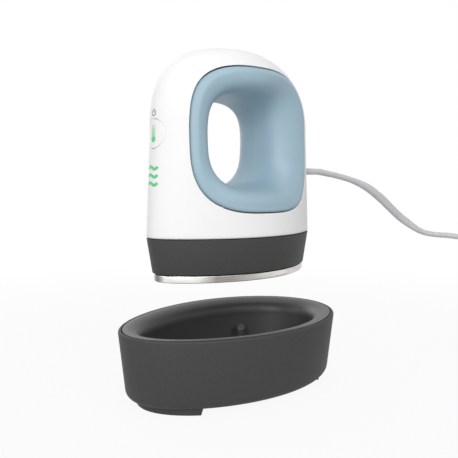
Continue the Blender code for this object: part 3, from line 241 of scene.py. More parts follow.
# Each slot's material: name, colour and roughness, then what differs from make_material's own values
MATERIALS = {
    "white_shell": ("white_plastic", (0.875, 0.875, 0.875), 0.50,
                    dict(mottle=0.004, grain_size=0.0006, grain_height=0.0000012, specular=0.3)),
    "soft_grip": ("blue_soft_touch", (0.315, 0.45, 0.535), 0.50,
                  dict(mottle=0.012, grain_size=0.0003, grain_height=0.000005, specular=0.7)),
    "charcoal": ("charcoal_plastic", (0.047, 0.047, 0.048), 0.62,
                 dict(mottle=0.06, mottle_size=0.0009, grain_size=0.00035, grain_height=0.00003,
                      specular=0.3)),
    "smooth_charcoal": ("charcoal_liner", (0.056, 0.056, 0.057), 0.42,
                        dict(mottle=0.05, mottle_size=0.0009, grain_size=0.00035)),
    "plate_face": ("plate_coating", (0.11, 0.11, 0.115), 0.42, dict(mottle=0.05, grain_size=0.0002)),
    "steel": ("plated_steel", (0.56, 0.57, 0.58), 0.34,
              dict(metallic=1.0, grain_size=0.0002, grain_height=0.000006)),
    "element_sheath": ("element_sheath", (0.34, 0.33, 0.31), 0.48,
                       dict(metallic=1.0, mottle=0.15, grain_size=0.0003)),
    "mica": ("mica_sheet", (0.62, 0.54, 0.40), 0.6, dict(mottle=0.12, mottle_size=0.003)),
    "ceramic": ("ceramic_bead", (0.72, 0.70, 0.64), 0.5, dict(mottle=0.05)),
    "board_green": ("circuit_board", (0.05, 0.22, 0.10), 0.4, dict(mottle=0.12, mottle_size=0.002)),
    "black_plastic": ("black_plastic", (0.02, 0.02, 0.02), 0.5, dict(mottle=0.1)),
    "green_light": ("green_light", (0.115, 0.60, 0.25), 0.45, dict(mottle_size=0.002)),
    "pale_green": ("pale_green_light", (0.38, 0.74, 0.50), 0.45, dict(mottle_size=0.002)),
    "clear_guide": ("light_guide", (0.80, 0.82, 0.82), 0.2, dict(mottle=0.02)),
    "foot_rubber": ("foot_rubber", (0.03, 0.03, 0.03), 0.8,
                    dict(mottle=0.15, grain_size=0.0005, grain_height=0.00004)),
    "cord_grey": ("cord_jacket", (0.60, 0.60, 0.62), 0.42,
                  dict(mottle=0.01, mottle_size=0.006, grain_size=0.0008, grain_height=0.000001)),
    "tie_dark": ("tie_strap", (0.05, 0.05, 0.05), 0.75,
                 dict(mottle=0.2, mottle_size=0.0006, grain_size=0.0005, grain_height=0.00008)),
    "grey_print": ("grey_print", (0.22, 0.22, 0.22), 0.5, dict(mottle=0.04, mottle_size=0.002)),
}

# Materials' fine detail: how much of a noise's range is used, and how gloss and grain vary
NOISE_LOW = 0.3
NOISE_HIGH = 0.7
GLOSS_DRIFT = 0.05
GLOSS_SIZE_PARTS = 3
GRAIN_DETAIL = 2.0
STREAK_SIZE = 0.00025
STREAK_STRETCH = (0.03, 0.03, 1)
STREAK_TONES = (0.80, 1.10)
WHITE = (1, 1, 1, 1)

# How finely the forms are drawn
PRESS_SIDES = 176
WINDOW_SIDES = 180
GRIP_SIDES = 168
ROUND_SIDES = 72
STAND_SIDES = 200
POST_SIDES = 40
STRAIGHT_ROWS = 22
SHOULDER_ROWS = 44
SHOULDER_LAST_DEGREES = 88.6
GRIP_ROLL_STEPS = 30
LINER_ROLL_STEPS = 24
MARK_STEPS = 24
CURVE_STEPS = 24
PLUG_SWELL_STEPS = 12

# How the housing's skin and its normals are found
FRONT_SKIN_PASSES = 6
CROWN_PASSES = 26
SKIN_STEP = 0.00004
CROWN_STEP = 0.0002
SKIN_SLACK = 0.00012
SKIN_TOP_SHARE = 0.99999
SKIN_TIP_LIMIT = 1.2
SKIN_FACING_COSINE = 0.93
CROWN_FACING_COSINE = 0.5

# Studio
WORLD_STRENGTH = 0.30
FLOOR_HALF_SIZE = 4
FLOOR_COLOUR = (0.60, 0.60, 0.60, 1)
FLOOR_ROUGHNESS = 0.9
SHADOW_SHARE = 0.08
SHADOW_NEAR = 0.12
SHADOW_FAR = 0.45
LAMP_AIM = (0.0, 0.0, 0.08)
# Name, place, width and power of each lamp
LAMPS = (
    ("key", (0.66, -0.90, 0.50), 0.7, 6.6),
    ("left", (-0.45, -1.10, 0.50), 0.8, 1.9),
    ("side", (1.00, -0.10, 0.80), 0.8, 4.2),
    ("top", (-0.05, 0.05, 1.20), 0.8, 1.8),
    ("back", (-0.95, 0.10, 0.40), 0.8, 1.6),
)


# Materials
def link(tree, source, source_socket, target, target_socket):
    tree.links.new(source.outputs[source_socket], target.inputs[target_socket])


def new_node(tree, kind, **inputs):
    """A node with some inputs set. An underscore stands for each space in an input's name."""
    node = tree.nodes.new(kind)
    for name, value in inputs.items():
        node.inputs[name.replace("_", " ")].default_value = value
    return node


def math_node(tree, operation):
    node = tree.nodes.new("ShaderNodeMath")
    node.operation = operation
    return node


def colour_mix(tree, blend_type):
    mix = tree.nodes.new("ShaderNodeMix")
    mix.data_type = "RGBA"
    mix.blend_type = blend_type
    return mix


def noise(tree, place, size, detail=3.0, stretch=(1, 1, 1)):
    mapping = new_node(tree, "ShaderNodeMapping", Scale=stretch)
    link(tree, place, "Object", mapping, "Vector")
    texture = new_node(tree, "ShaderNodeTexNoise", Scale=1 / size, Detail=detail)
    link(tree, mapping, "Vector", texture, "Vector")
    return texture


def map_range(tree, source, socket, reads, gives):
    """Maps the two values that are read to the two that are given, and what lies between them."""
    spread = new_node(tree, "ShaderNodeMapRange", From_Min=reads[0], From_Max=reads[1], To_Min=gives[0],
                      To_Max=gives[1])
    link(tree, source, socket, spread, "Value")
    return spread


def ranged(tree, source, low, high):
    """Spreads the middle of a noise's range from low to high."""
    return map_range(tree, source, "Fac", (NOISE_LOW, NOISE_HIGH), (low, high))


def make_material(name, colour, roughness, metallic=0.0, mottle=0.03, mottle_size=0.012,
                  grain_size=0.0004, grain_height=0.00001, stretch=(1, 1, 1), specular=0.5):
    """Colour that drifts a little, uneven gloss and a fine moulded grain."""
    material = bpy.data.materials.new(name)
    material.use_nodes = True
    tree = material.node_tree
    shader = tree.nodes["Principled BSDF"]
    shader.inputs["Metallic"].default_value = metallic
    shader.inputs["Specular IOR Level"].default_value = specular
    place = tree.nodes.new("ShaderNodeTexCoord")
    mix = colour_mix(tree, "MIX")
    mix.inputs["A"].default_value = (*[value * (1 - mottle) for value in colour], 1)
    mix.inputs["B"].default_value = (*[min(1, value * (1 + mottle)) for value in colour], 1)
    drift = ranged(tree, noise(tree, place, mottle_size, stretch=stretch), 0, 1)
    link(tree, drift, "Result", mix, "Factor")
    link(tree, mix, "Result", shader, "Base Color")
    gloss = ranged(tree, noise(tree, place, mottle_size / GLOSS_SIZE_PARTS, stretch=stretch),
                   roughness - GLOSS_DRIFT, roughness + GLOSS_DRIFT)
    link(tree, gloss, "Result", shader, "Roughness")
    bump = new_node(tree, "ShaderNodeBump", Strength=1.0, Distance=grain_height)
    link(tree, noise(tree, place, grain_size, GRAIN_DETAIL, stretch), "Fac", bump, "Height")
    link(tree, bump, "Normal", shader, "Normal")
    return material


def make_plate_edge_with_painted_reflections(name):
    """Polished edge of the heat plate: brushed along its length, with painted reflections as bright and dark
    stretches.
    """
    material = make_material(name, (0.80, 0.79, 0.77), 0.22, metallic=1.0, mottle=0.0, grain_size=0.0002,
                             grain_height=0.000003, stretch=(0.05, 0.05, 1))
    tree = material.node_tree
    place = tree.nodes.new("ShaderNodeTexCoord")
    parts = tree.nodes.new("ShaderNodeSeparateXYZ")
    link(tree, place, "Object", parts, "Vector")
    along = map_range(tree, parts, "Y", (-PLATE_HALF_LENGTH, PLATE_HALF_LENGTH), (0, 1))
    # Painted reflections: a colour ramp along the edge steps between bright and dark tones, then the brushed
    # streaks multiply it.
    painted_reflection = tree.nodes.new("ShaderNodeValToRGB")
    for index, (share, colour) in enumerate(PLATE_REFLECTION_TONES):
        stop = painted_reflection.color_ramp.elements[index] if index < 2 else painted_reflection.color_ramp.elements.new(share)
        stop.position = share
        stop.color = (*colour, 1)
    link(tree, along, "Result", painted_reflection, "Fac")
    streaks = ranged(tree, noise(tree, place, STREAK_SIZE, GRAIN_DETAIL, STREAK_STRETCH), *STREAK_TONES)
    streaked_reflection = colour_mix(tree, "MULTIPLY")
    streaked_reflection.inputs["Factor"].default_value = 1.0
    link(tree, painted_reflection, "Color", streaked_reflection, "A")
    link(tree, streaks, "Result", streaked_reflection, "B")
    link(tree, streaked_reflection, "Result", tree.nodes["Principled BSDF"], "Base Color")
    return material


def make_materials():
    materials = {slot: make_material(name, colour, roughness, **more)
                 for slot, (name, colour, roughness, more) in MATERIALS.items()}
    materials["plate_metal"] = make_plate_edge_with_painted_reflections("plate_aluminium")
    return materials


# Mesh helpers
def smooth_mesh(mesh, sharp_degrees):
    mesh.shade_smooth()
    mesh.set_sharp_from_angle(angle=math.radians(sharp_degrees))


def finish_mesh(name, bm, material, smooth_degrees=35):
    bmesh.ops.recalc_face_normals(bm, faces=bm.faces[:])
    mesh = bpy.data.meshes.new(name)
    bm.to_mesh(mesh)
    bm.free()
    smooth_mesh(mesh, smooth_degrees)
    mesh.materials.append(material)
    piece = bpy.data.objects.new(name, mesh)
    bpy.context.scene.collection.objects.link(piece)
    return piece


def add_loft(bm, rings, closed=False):
    rows = [[bm.verts.new(point) for point in ring] for ring in rings]
    count = len(rows[0])
    pairs = list(zip(rows, rows[1:]))
    if closed:
        pairs.append((rows[-1], rows[0]))
    for low, high in pairs:
        for index in range(count):
            after = (index + 1) % count
            bm.faces.new((low[index], low[after], high[after], high[index]))
    if not closed:
        bm.faces.new(rows[0])
        bm.faces.new(rows[-1])


def loft_piece(name, rings, material, closed=False, smooth_degrees=35):
    bm = bmesh.new()
    add_loft(bm, rings, closed)
    return finish_mesh(name, bm, material, smooth_degrees)


def combine(target, tool, operation):
    modifier = target.modifiers.new(operation, "BOOLEAN")
    modifier.operation = operation
    modifier.solver = "EXACT"
    modifier.object = tool
    depsgraph = bpy.context.evaluated_depsgraph_get()
    target.data = bpy.data.meshes.new_from_object(target.evaluated_get(depsgraph))
    target.modifiers.clear()
    bpy.data.objects.remove(tool, do_unlink=True)
    return target


def stand_for(piece, body, slot_name, *nodes):
    """Sets a piece in place on its body. Pieces of the press are made round its own middle."""
    if body != "stand":
        piece.data.transform(Matrix.Translation((0, PRESS_CENTRE_Y, 0)))
    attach(piece, body)
    if nodes:
        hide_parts(*nodes)
    return piece


def oval_factor(share, narrowing_share, widening_share):
    """How wide the oval is at a share of its half length, against a plain ellipse."""
    return (1 - narrowing_share * share * share) * (1 + widening_share * share)


def oval_ring(half_length, half_width, narrowing_share, z, sides, widening_share=0.0):
    ring = []
    for index in range(sides):
        angle = math.tau * index / sides
        share = math.sin(angle)
        x = half_width * math.cos(angle) * oval_factor(share, narrowing_share, widening_share)
        ring.append((x, half_length * share, z))
    return ring


def oval_half_width(y, half_length, half_width, narrowing_share, widening_share=0.0):
    share = min(max(y / half_length, -1), 1)
    return half_width * math.sqrt(1 - share * share) * oval_factor(share, narrowing_share, widening_share)


def rounded_outline(centre, half, corner_share, sides, margin=0.0):
    outline = []
    for index in range(sides):
        angle = math.tau * index / sides
        along = abs(math.cos(angle) / (half[0] + margin)) ** corner_share
        up = abs(math.sin(angle) / (half[1] + margin)) ** corner_share
        reach = (along + up) ** (-1 / corner_share)
        outline.append((centre[0] + reach * math.cos(angle), centre[1] + reach * math.sin(angle)))
    return outline


def grip_outline(sides, margin):
    return rounded_outline(GRIP_CENTRE, GRIP_HALF, GRIP_CORNER_SHARE, sides, margin)


def arc_steps(steps):
    return [math.pi / 2 * index / steps for index in range(steps + 1)]


def edge_round(radius, steps):
    """A rounded edge: how far each step lies in from one face, and from the other."""
    return [(radius * (1 - math.sin(turn)), radius * (1 - math.cos(turn))) for turn in arc_steps(steps)]


def circle(radius, sides):
    turns = [math.tau * index / sides for index in range(sides)]
    return [(radius * math.cos(turn), radius * math.sin(turn)) for turn in turns]


# Outer form of the housing, by the same rules as in the CAD model
def shoulder(z, half, taper, shoulder_z, top_z, power_share):
    side = half - taper * (min(z, shoulder_z) - SEAM_Z) / (shoulder_z - SEAM_Z)
    if z <= shoulder_z:
        return side
    rise = min((z - shoulder_z) / (top_z - shoulder_z), 1)
    return side * (1 - rise ** power_share) ** (1 / power_share)


def housing_section(z, inset=0.0):
    top_z = HOUSING_TOP_Z - inset
    half_length = shoulder(z, HOUSING_HALF_LENGTH - inset, LENGTH_TAPER, LENGTH_SHOULDER_Z, top_z,
                           LENGTH_SHOULDER_POWER_SHARE)
    half_width = shoulder(z, HOUSING_HALF_WIDTH - inset, WIDTH_TAPER, WIDTH_SHOULDER_Z, top_z,
                          WIDTH_SHOULDER_POWER_SHARE)
    rise = (z - SEAM_Z) / (HOUSING_TOP_Z - SEAM_Z)
    narrowing_share = PRESS_NARROWING_SHARE + (TOP_NARROWING_SHARE - PRESS_NARROWING_SHARE) * rise
    return half_length, half_width, narrowing_share


def crown_fall(y, z):
    """How far the housing's crown falls at one place, growing from the shoulder to the top."""
    rise = (z - WIDTH_SHOULDER_Z) / (HOUSING_TOP_Z - WIDTH_SHOULDER_Z)
    return CROWN_SLOPE_SHARE * y * min(max(rise, 0), 1)


def skin_half_width(y, z):
    return oval_half_width(y, *housing_section(min(z + crown_fall(y, z), HOUSING_TOP_Z)))


def front_skin_y(x, z):
    """Y of the housing's front surface at one place across it."""
    level = z + crown_fall(-HOUSING_HALF_LENGTH + LENGTH_TAPER, z)
    half_length, half_width, narrowing_share = housing_section(level)
    share = 1.0
    for _ in range(FRONT_SKIN_PASSES):
        lean = x / (half_width * (1 - narrowing_share * share * share))
        share = math.sqrt(max(0.0, 1 - lean * lean))
    return -half_length * share


def section_share(x, y, level, tip_limit):
    """Below 1 inside the housing's section at one level, above 1 outside it."""
    half_length, half_width, narrowing_share = housing_section(level)
    along = y / half_length
    across = x / (half_width * (1 - narrowing_share * min(along * along, tip_limit)))
    return across * across + along * along


def skin_level(point):
    """Zero on the housing's skin, positive outside it."""
    x, y, z = point
    level = min(z + crown_fall(y, z), HOUSING_TOP_Z * SKIN_TOP_SHARE)
    return section_share(x, y, level, SKIN_TIP_LIMIT) - 1


def skin_normal(point):
    slopes = []
    for axis in range(3):
        offset = Vector((0, 0, 0))
        offset[axis] = SKIN_STEP
        slopes.append(skin_level(point + offset) - skin_level(point - offset))
    return Vector(slopes).normalized()


def crown_level(x, y):
    """Section height at which the housing's skin passes over one place near the crown's top."""
    low, high = WIDTH_SHOULDER_Z, HOUSING_TOP_Z
    for _ in range(CROWN_PASSES):
        level = (low + high) / 2
        if section_share(x, y, level, 1) < 1:
            low = level
        else:
            high = level
    return low


def crown_normal(point):
    """The skin's normal close to the crown's top, where sections shrink to nothing."""
    heights = []
    for x, y in ((CROWN_STEP, 0), (-CROWN_STEP, 0), (0, CROWN_STEP), (0, -CROWN_STEP)):
        level = crown_level(point.x + x, point.y + y)
        heights.append(level - crown_fall(point.y + y, level))
    return Vector((heights[1] - heights[0], heights[3] - heights[2], 2 * CROWN_STEP)).normalized()


def smooth_skin(mesh):
    """Gives every corner that lies on the housing's skin that skin's own normal."""
    normals = [Vector(corner.vector) for corner in mesh.corner_normals]
    for polygon in mesh.polygons:
        for loop_index in polygon.loop_indices:
            point = mesh.vertices[mesh.loops[loop_index].vertex_index].co
            if point.z < SEAM_Z + SEAM_ROUND:
                continue
            if point.z + crown_fall(point.y, point.z) > HOUSING_TOP_Z - CROWN_CAP_HEIGHT:
                if polygon.normal.z > CROWN_FACING_COSINE:
                    normals[loop_index] = crown_normal(point)
                continue
            level = skin_level(point)
            if abs(level) * HOUSING_HALF_WIDTH / 2 > SKIN_SLACK:
                continue
            normal = skin_normal(point)
            if normal.dot(polygon.normal) > SKIN_FACING_COSINE:
                normals[loop_index] = normal
    mesh.normals_split_custom_set(normals)


# Press
def housing_levels(top_z):
    levels = []
    for row in range(STRAIGHT_ROWS):
        levels.append(SEAM_Z + (WIDTH_SHOULDER_Z - SEAM_Z) * row / STRAIGHT_ROWS)
    for row in range(SHOULDER_ROWS):
        turn = math.radians(SHOULDER_LAST_DEGREES) * row / (SHOULDER_ROWS - 1)
        levels.append(WIDTH_SHOULDER_Z + (top_z - WIDTH_SHOULDER_Z) * math.sin(turn))
    return levels


def housing_rings(inset):
    rings = []
    for z in housing_levels(HOUSING_TOP_Z - inset):
        ring = oval_ring(*housing_section(z, inset), z, PRESS_SIDES)
        rings.append([(x, y, z - crown_fall(y, z)) for x, y, z in ring])
    return rings


def bottom_edge_rings():
    """Small rounding where the housing meets the skirt."""
    rings = []
    for inset, rise in edge_round(SEAM_ROUND, 4):
        z = SEAM_Z + rise
        half_length, half_width, narrowing_share = housing_section(z)
        rings.append(oval_ring(half_length - inset, half_width - inset, narrowing_share, z, PRESS_SIDES))
    return rings


def make_housing(material):
    outer = [ring for ring in housing_rings(0.0) if ring[0][2] > SEAM_Z + SEAM_CLEAR_SHARE * SEAM_ROUND]
    inner = housing_rings(HOUSING_WALL)
    shell = loft_piece("housing_shell", list(reversed(inner)) + bottom_edge_rings() + outer, material)
    reach = HOUSING_HALF_WIDTH * TOOL_END_SHARE
    outline = grip_outline(WINDOW_SIDES, EDGE_ROUND * WINDOW_CUT_SHARE)
    window = loft_piece("window", [[(x, y, z) for y, z in outline] for x in (-reach, reach)], material)
    combine(shell, window, "DIFFERENCE")
    combine(shell, button_tool(material), "DIFFERENCE")
    smooth_skin(shell.data)
    stand_for(shell, "press", "white_shell", "housing")
    for name, side in (("window_edge_right", 1), ("window_edge_left", -1)):
        stand_for(make_window_edge(name, side, material), "press", "white_shell")


def button_tool(material):
    """Cylinder along Y through the housing's front wall."""
    rings = []
    for share in (TOOL_START_SHARE, TOOL_END_SHARE):
        rings.append([(x, -HOUSING_HALF_LENGTH * share, BUTTON_CENTRE_Z + z)
                      for x, z in circle(BUTTON_RADIUS + BUTTON_GAP, ROUND_SIDES)])
    return loft_piece("button_tool", rings, material)


def make_window_edge(name, side, material):
    """Rounded white rim of the hand window, from the skin to behind the wall."""
    rings = []
    for margin, depth in edge_round(EDGE_ROUND, 5) + [(0.0, HOUSING_WALL), (EDGE_ROUND, HOUSING_WALL)]:
        outline = grip_outline(WINDOW_SIDES, margin)
        rings.append([(side * (skin_half_width(y, z) - depth), y, z) for y, z in outline])
    return loft_piece(name, rings, material, closed=True, smooth_degrees=60)


def grip_rows():
    """Shares inward and outward of the roll from the lip (0, 1) to the throat (1, 0)."""
    return [(math.sin(turn) ** GRIP_ROLL_SHARE, math.cos(turn) ** GRIP_ROLL_SHARE)
            for turn in arc_steps(GRIP_ROLL_STEPS)]


def make_grip(name, node, side, material):
    """Half of the lining: a flat lip on the skin, then a roll in to the throat."""
    lip = grip_outline(GRIP_SIDES, -GRIP_GROOVE - GRIP_LIP)
    throat = rounded_outline(THROAT_CENTRE, THROAT_HALF, THROAT_CORNER_SHARE, GRIP_SIDES)
    inner_x = PARTING_GAP / 2
    front = []
    back = []
    lip_rows = edge_round(GRIP_ROUND, 3)[::-1]
    lip_rows += [(GRIP_ROUND + share * (GRIP_LIP - GRIP_ROUND), 0.0) for share in GRIP_LIP_SHARES]
    for inset, sink in lip_rows:
        outline = grip_outline(GRIP_SIDES, -GRIP_GROOVE - inset)
        edge = [skin_half_width(y, z) + GRIP_RISE for y, z in outline]
        front.append([(side * (x - sink), y, z) for x, (y, z) in zip(edge, outline)])
        back.append([(side * (x - GRIP_THICKNESS), y, z) for x, (y, z) in zip(edge, outline)])
    for inward_share, outward_share in grip_rows():
        front_ring = []
        back_ring = []
        for (lip_y, lip_z), (throat_y, throat_z) in zip(lip, throat):
            edge_x = skin_half_width(lip_y, lip_z) + GRIP_RISE
            inward = Vector((throat_y - lip_y, throat_z - lip_z))
            back_share = 1 - GRIP_THICKNESS / inward.length
            face = Vector((lip_y, lip_z)) + inward * inward_share
            rear = Vector((lip_y, lip_z)) + inward * back_share * inward_share
            face_x = inner_x + (edge_x - inner_x) * outward_share
            rear_x = inner_x + (edge_x - GRIP_THICKNESS - inner_x) * outward_share
            front_ring.append((side * face_x, face[0], face[1]))
            back_ring.append((side * rear_x, rear[0], rear[1]))
        front.append(front_ring)
        back.append(back_ring)
    grip = loft_piece(name, front + list(reversed(back)), material, closed=True, smooth_degrees=50)
    stand_for(grip, "press", "soft_grip", node)


def make_skirt(material):
    top_z = SEAM_Z - FACE_GAP
    edge = edge_round(SKIRT_EDGE_ROUND, 3)
    profile = [(SKIRT_BOTTOM_Z + SKIRT_EDGE_ROUND, SKIRT_WALL)]
    profile += [(SKIRT_BOTTOM_Z + rise, inset) for rise, inset in reversed(edge)]
    profile += [(top_z - drop, inset) for drop, inset in edge]
    profile += [(top_z, SKIRT_WALL)]
    rings = []
    for z, inset in profile:
        rise = (z - SKIRT_BOTTOM_Z) / (SEAM_Z - SKIRT_BOTTOM_Z)
        half_length = SKIRT_HALF_LENGTH + (HOUSING_HALF_LENGTH - SKIRT_HALF_LENGTH) * rise
        half_width = SKIRT_HALF_WIDTH + (HOUSING_HALF_WIDTH - SKIRT_HALF_WIDTH) * rise
        rings.append(oval_ring(half_length - inset, half_width - inset, PRESS_NARROWING_SHARE, z,
                               PRESS_SIDES))
    skirt = loft_piece("skirt_band", rings, material)
    stand_for(skirt, "press", "charcoal", "skirt")


def make_plate(material, face_material):
    profile = [(PLATE_BOTTOM_Z + rise, inset) for inset, rise in edge_round(PLATE_LOW_ROUND, 5)]
    profile += [(PLATE_TOP_Z - drop, inset) for drop, inset in edge_round(PLATE_TOP_ROUND, 3)]
    rings = [oval_ring(PLATE_HALF_LENGTH - inset, PLATE_HALF_WIDTH - inset, PRESS_NARROWING_SHARE, z,
                       PRESS_SIDES) for z, inset in profile]
    plate = loft_piece("heat_plate", rings, material)
    plate.data.materials.append(face_material)
    for polygon in plate.data.polygons:
        if polygon.normal.z < PLATE_FACE_NORMAL_Z:
            polygon.material_index = 1
    stand_for(plate, "press", "plate_metal", "soleplate")


def make_button(material):
    """Cap that continues the housing's skin, with a rounded edge."""
    rows = [(BUTTON_RADIUS * share, 0.0) for share in BUTTON_FACE_SHARES]
    rows += [(BUTTON_RADIUS - inset, sink) for inset, sink in edge_round(BUTTON_EDGE_ROUND, 4)]
    rows += [(BUTTON_RADIUS, BUTTON_DEPTH)]
    rings = []
    for radius, sink in rows:
        outline = [(x, BUTTON_CENTRE_Z + up) for x, up in circle(radius, ROUND_SIDES)]
        rings.append([(x, front_skin_y(x, z) + sink, z) for x, z in outline])
    button = loft_piece("button_cap", rings, material)
    stand_for(button, "power_button", "white_shell", "button")


# Marks that lie on the front skin
def round_end(tip, inner, stroke):
    """Places and widths from beyond the tip of a line to where the stroke is full."""
    heading = (tip - inner).normalized()
    return [(tip + heading * stroke / 2 * math.cos(turn), stroke * max(math.sin(turn), MARK_END_SHARE))
            for turn in arc_steps(6)[:-1]]


def rounded_stroke(line, stroke):
    """The line's points with stroke widths that close into round ends."""
    points = [Vector(point) for point in line]
    start = round_end(points[0], points[1], stroke)
    end = round_end(points[-1], points[-2], stroke)
    return start + [(point, stroke) for point in points] + end[::-1]


def lay_stroke(name, line, stroke, material, body, slot_name, lift=0.0):
    """A stroke with round ends, laid on the housing's front skin."""
    stations = rounded_stroke(line, stroke)
    bm = bmesh.new()
    rows = []
    for index, (point, width) in enumerate(stations):
        before = stations[max(index - 1, 0)][0]
        after = stations[min(index + 1, len(stations) - 1)][0]
        along = (after - before).normalized()
        side = Vector((-along[1], along[0])) * width / 2
        row = []
        for offset in (-MARK_HEIGHT - lift, MARK_SINK):
            for sign in (1, -1):
                edge_x, edge_z = point + side * sign
                row.append(bm.verts.new((edge_x, front_skin_y(edge_x, edge_z) + offset, edge_z)))
        rows.append(row)
    for start, end in zip(rows, rows[1:]):
        for near, far in ((0, 1), (2, 0), (1, 3), (3, 2)):
            bm.faces.new((start[near], start[far], end[far], end[near]))
    for row in (rows[0], rows[-1]):
        bm.faces.new((row[0], row[1], row[3], row[2]))
    stand_for(finish_mesh(name, bm, material), body, slot_name)


def make_marks(materials):
    for number in range(WAVE_COUNT):
        centre_z = WAVE_CENTRE_Z + (WAVE_COUNT // 2 - number) * WAVE_PITCH
        line = []
        for index in range(MARK_STEPS + 1):
            share = 2 * index / MARK_STEPS - 1
            line.append((WAVE_HALF_WIDTH * share, centre_z - WAVE_HEIGHT * math.sin(math.pi * share)))
        lay_stroke(f"heat_wave_{number + 1}", line, WAVE_STROKE, materials["green_light"], "press",
                   "green_light")
    gap = math.radians(POWER_MARK_GAP_DEGREES)
    line = []
    for index in range(MARK_STEPS + 1):
        angle = math.pi / 2 + gap + (math.tau - 2 * gap) * index / MARK_STEPS
        line.append((POWER_MARK_RADIUS * math.cos(angle), POWER_MARK_Z + POWER_MARK_RADIUS * math.sin(angle)))
    bar_line = [(0, POWER_MARK_Z + POWER_MARK_RADIUS * share) for share in POWER_BAR_SHARES]
    for name, mark_line in (("power_mark_ring", line), ("power_mark_bar", bar_line)):
        lay_stroke(name, mark_line, POWER_MARK_STROKE, materials["grey_print"], "press", "white_shell")
    make_thermometer(materials)


def make_thermometer(materials):
    stem_height = THERMOMETER_TOP_Z - THERMOMETER_STEM_STROKE / 2 - THERMOMETER_BULB_Z
    stem_line = [(0, THERMOMETER_BULB_Z + stem_height * index / THERMOMETER_STEPS)
                 for index in range(THERMOMETER_STEPS + 1)]
    core_line = stem_line[THERMOMETER_CORE_FIRST_STEP:]
    bulb_line = [(side * THERMOMETER_SPOT, THERMOMETER_BULB_Z) for side in (-1, 1)]
    strokes = (
        ("thermometer_stem", stem_line, THERMOMETER_STEM_STROKE, "green_light", 0.0),
        ("thermometer_core", core_line, THERMOMETER_CORE_STROKE, "pale_green", MARK_HEIGHT),
        ("thermometer_bulb", bulb_line, 2 * THERMOMETER_BULB_RADIUS, "green_light", MARK_HEIGHT / 2),
    )
    for name, line, stroke, material_name, lift in strokes:
        lay_stroke(name, line, stroke, materials[material_name], "power_button", "green_light", lift)


# Stand
def stand_rings(profile, half_length, half_width):
    return [oval_ring(half_length - inset, half_width - inset, STAND_NARROWING_SHARE, z, STAND_SIDES,
                      STAND_WIDENING_SHARE) for inset, z in profile]


def make_tub(material):
    lean = TUB_LEAN / (RIM_Z - TUB_FLOOR_Z)
    low_edge = [(inset, TUB_FLOOR_Z + rise) for inset, rise in edge_round(TUB_EDGE_ROUND, 8)]
    profile = [(inset + lean * (RIM_Z - z), z) for inset, z in low_edge]
    profile += [(inset, RIM_Z - drop) for drop, inset in edge_round(TUB_LIP_ROUND, 5)]
    inner_edge = TUB_WALL - TUB_LIP_ROUND / 2
    profile += [(inner_edge + TUB_LIP_ROUND / 2 * math.sin(turn),
                 RIM_Z - TUB_LIP_ROUND / 2 * (1 - math.cos(turn))) for turn in arc_steps(3)]
    floor_z = TUB_FLOOR_Z + TUB_FLOOR
    profile += [(TUB_WALL + lean * (RIM_Z - floor_z), floor_z)]
    tub = loft_piece("tub_shell", stand_rings(profile, RIM_HALF_LENGTH, RIM_HALF_WIDTH), material)
    for side in (-1, 1):
        combine(tub, make_foot(side, material), "UNION")
    smooth_mesh(tub.data, STAND_SHARP_DEGREES)
    stand_for(tub, "stand", "charcoal", "stand_tub")


def make_foot(side, material):
    base = TUB_LEAN + FOOT_INSET
    top_z = TUB_FLOOR_Z + TUB_FLOOR / 2
    profile = [(base + inset, FOOT_LIFT + rise) for inset, rise in edge_round(FOOT_EDGE_ROUND, 3)]
    profile += [(base, top_z)]
    rings = stand_rings(profile, RIM_HALF_LENGTH - FOOT_TIP_INSET, RIM_HALF_WIDTH)
    foot = loft_piece("foot", rings, material)
    reach = RIM_HALF_LENGTH
    rest = []
    for z, end_y in ((FOOT_LIFT - FOOT_SLANT, FOOT_END_Y + FOOT_SLANT_SHARE * FOOT_SLANT),
                     (top_z + FOOT_SLANT, FOOT_END_Y)):
        rest.append([(reach, side * end_y, z), (-reach, side * end_y, z), (-reach, -side * reach, z),
                     (reach, -side * reach, z)])
    return combine(foot, loft_piece("rest", rest, material), "DIFFERENCE")


def make_liner(material):
    half_length = RIM_HALF_LENGTH - TUB_WALL - RIM_GROOVE
    half_width = RIM_HALF_WIDTH - TUB_WALL - RIM_GROOVE
    floor_inset = ROLL_LENGTH + LINER_DRAFT
    profile = [(floor_inset + inset, LINER_FLOOR_Z + rise) for inset, rise in edge_round(LINER_FILLET, 5)]
    profile += [(ROLL_LENGTH * math.sin(turn) ** ROLL_FLATNESS_SHARE,
                 RIM_Z - ROLL_DEPTH * (1 - math.cos(turn) ** ROLL_FLATNESS_SHARE))
                for turn in reversed(arc_steps(LINER_ROLL_STEPS))]
    profile += [(0.0, RIM_Z - LINER_EDGE_HEIGHT), (LINER_EDGE_HEIGHT / 2, RIM_Z - LINER_EDGE_HEIGHT)]
    profile += [(ROLL_LENGTH - LINER_WALL, RIM_Z - ROLL_DEPTH), (floor_inset - LINER_WALL, LINER_BOTTOM_Z)]
    liner = loft_piece("liner_shell", stand_rings(profile, half_length, half_width), material)
    for side_x in (-1, 1):
        for side_y in (-1, 1):
            place = (side_x * POST_PLACE[0], side_y * POST_PLACE[1])
            combine(liner, make_post(*place, half_length, half_width, material), "UNION")
    smooth_mesh(liner.data, STAND_SHARP_DEGREES)
    stand_for(liner, "stand", "charcoal", "stand_liner")


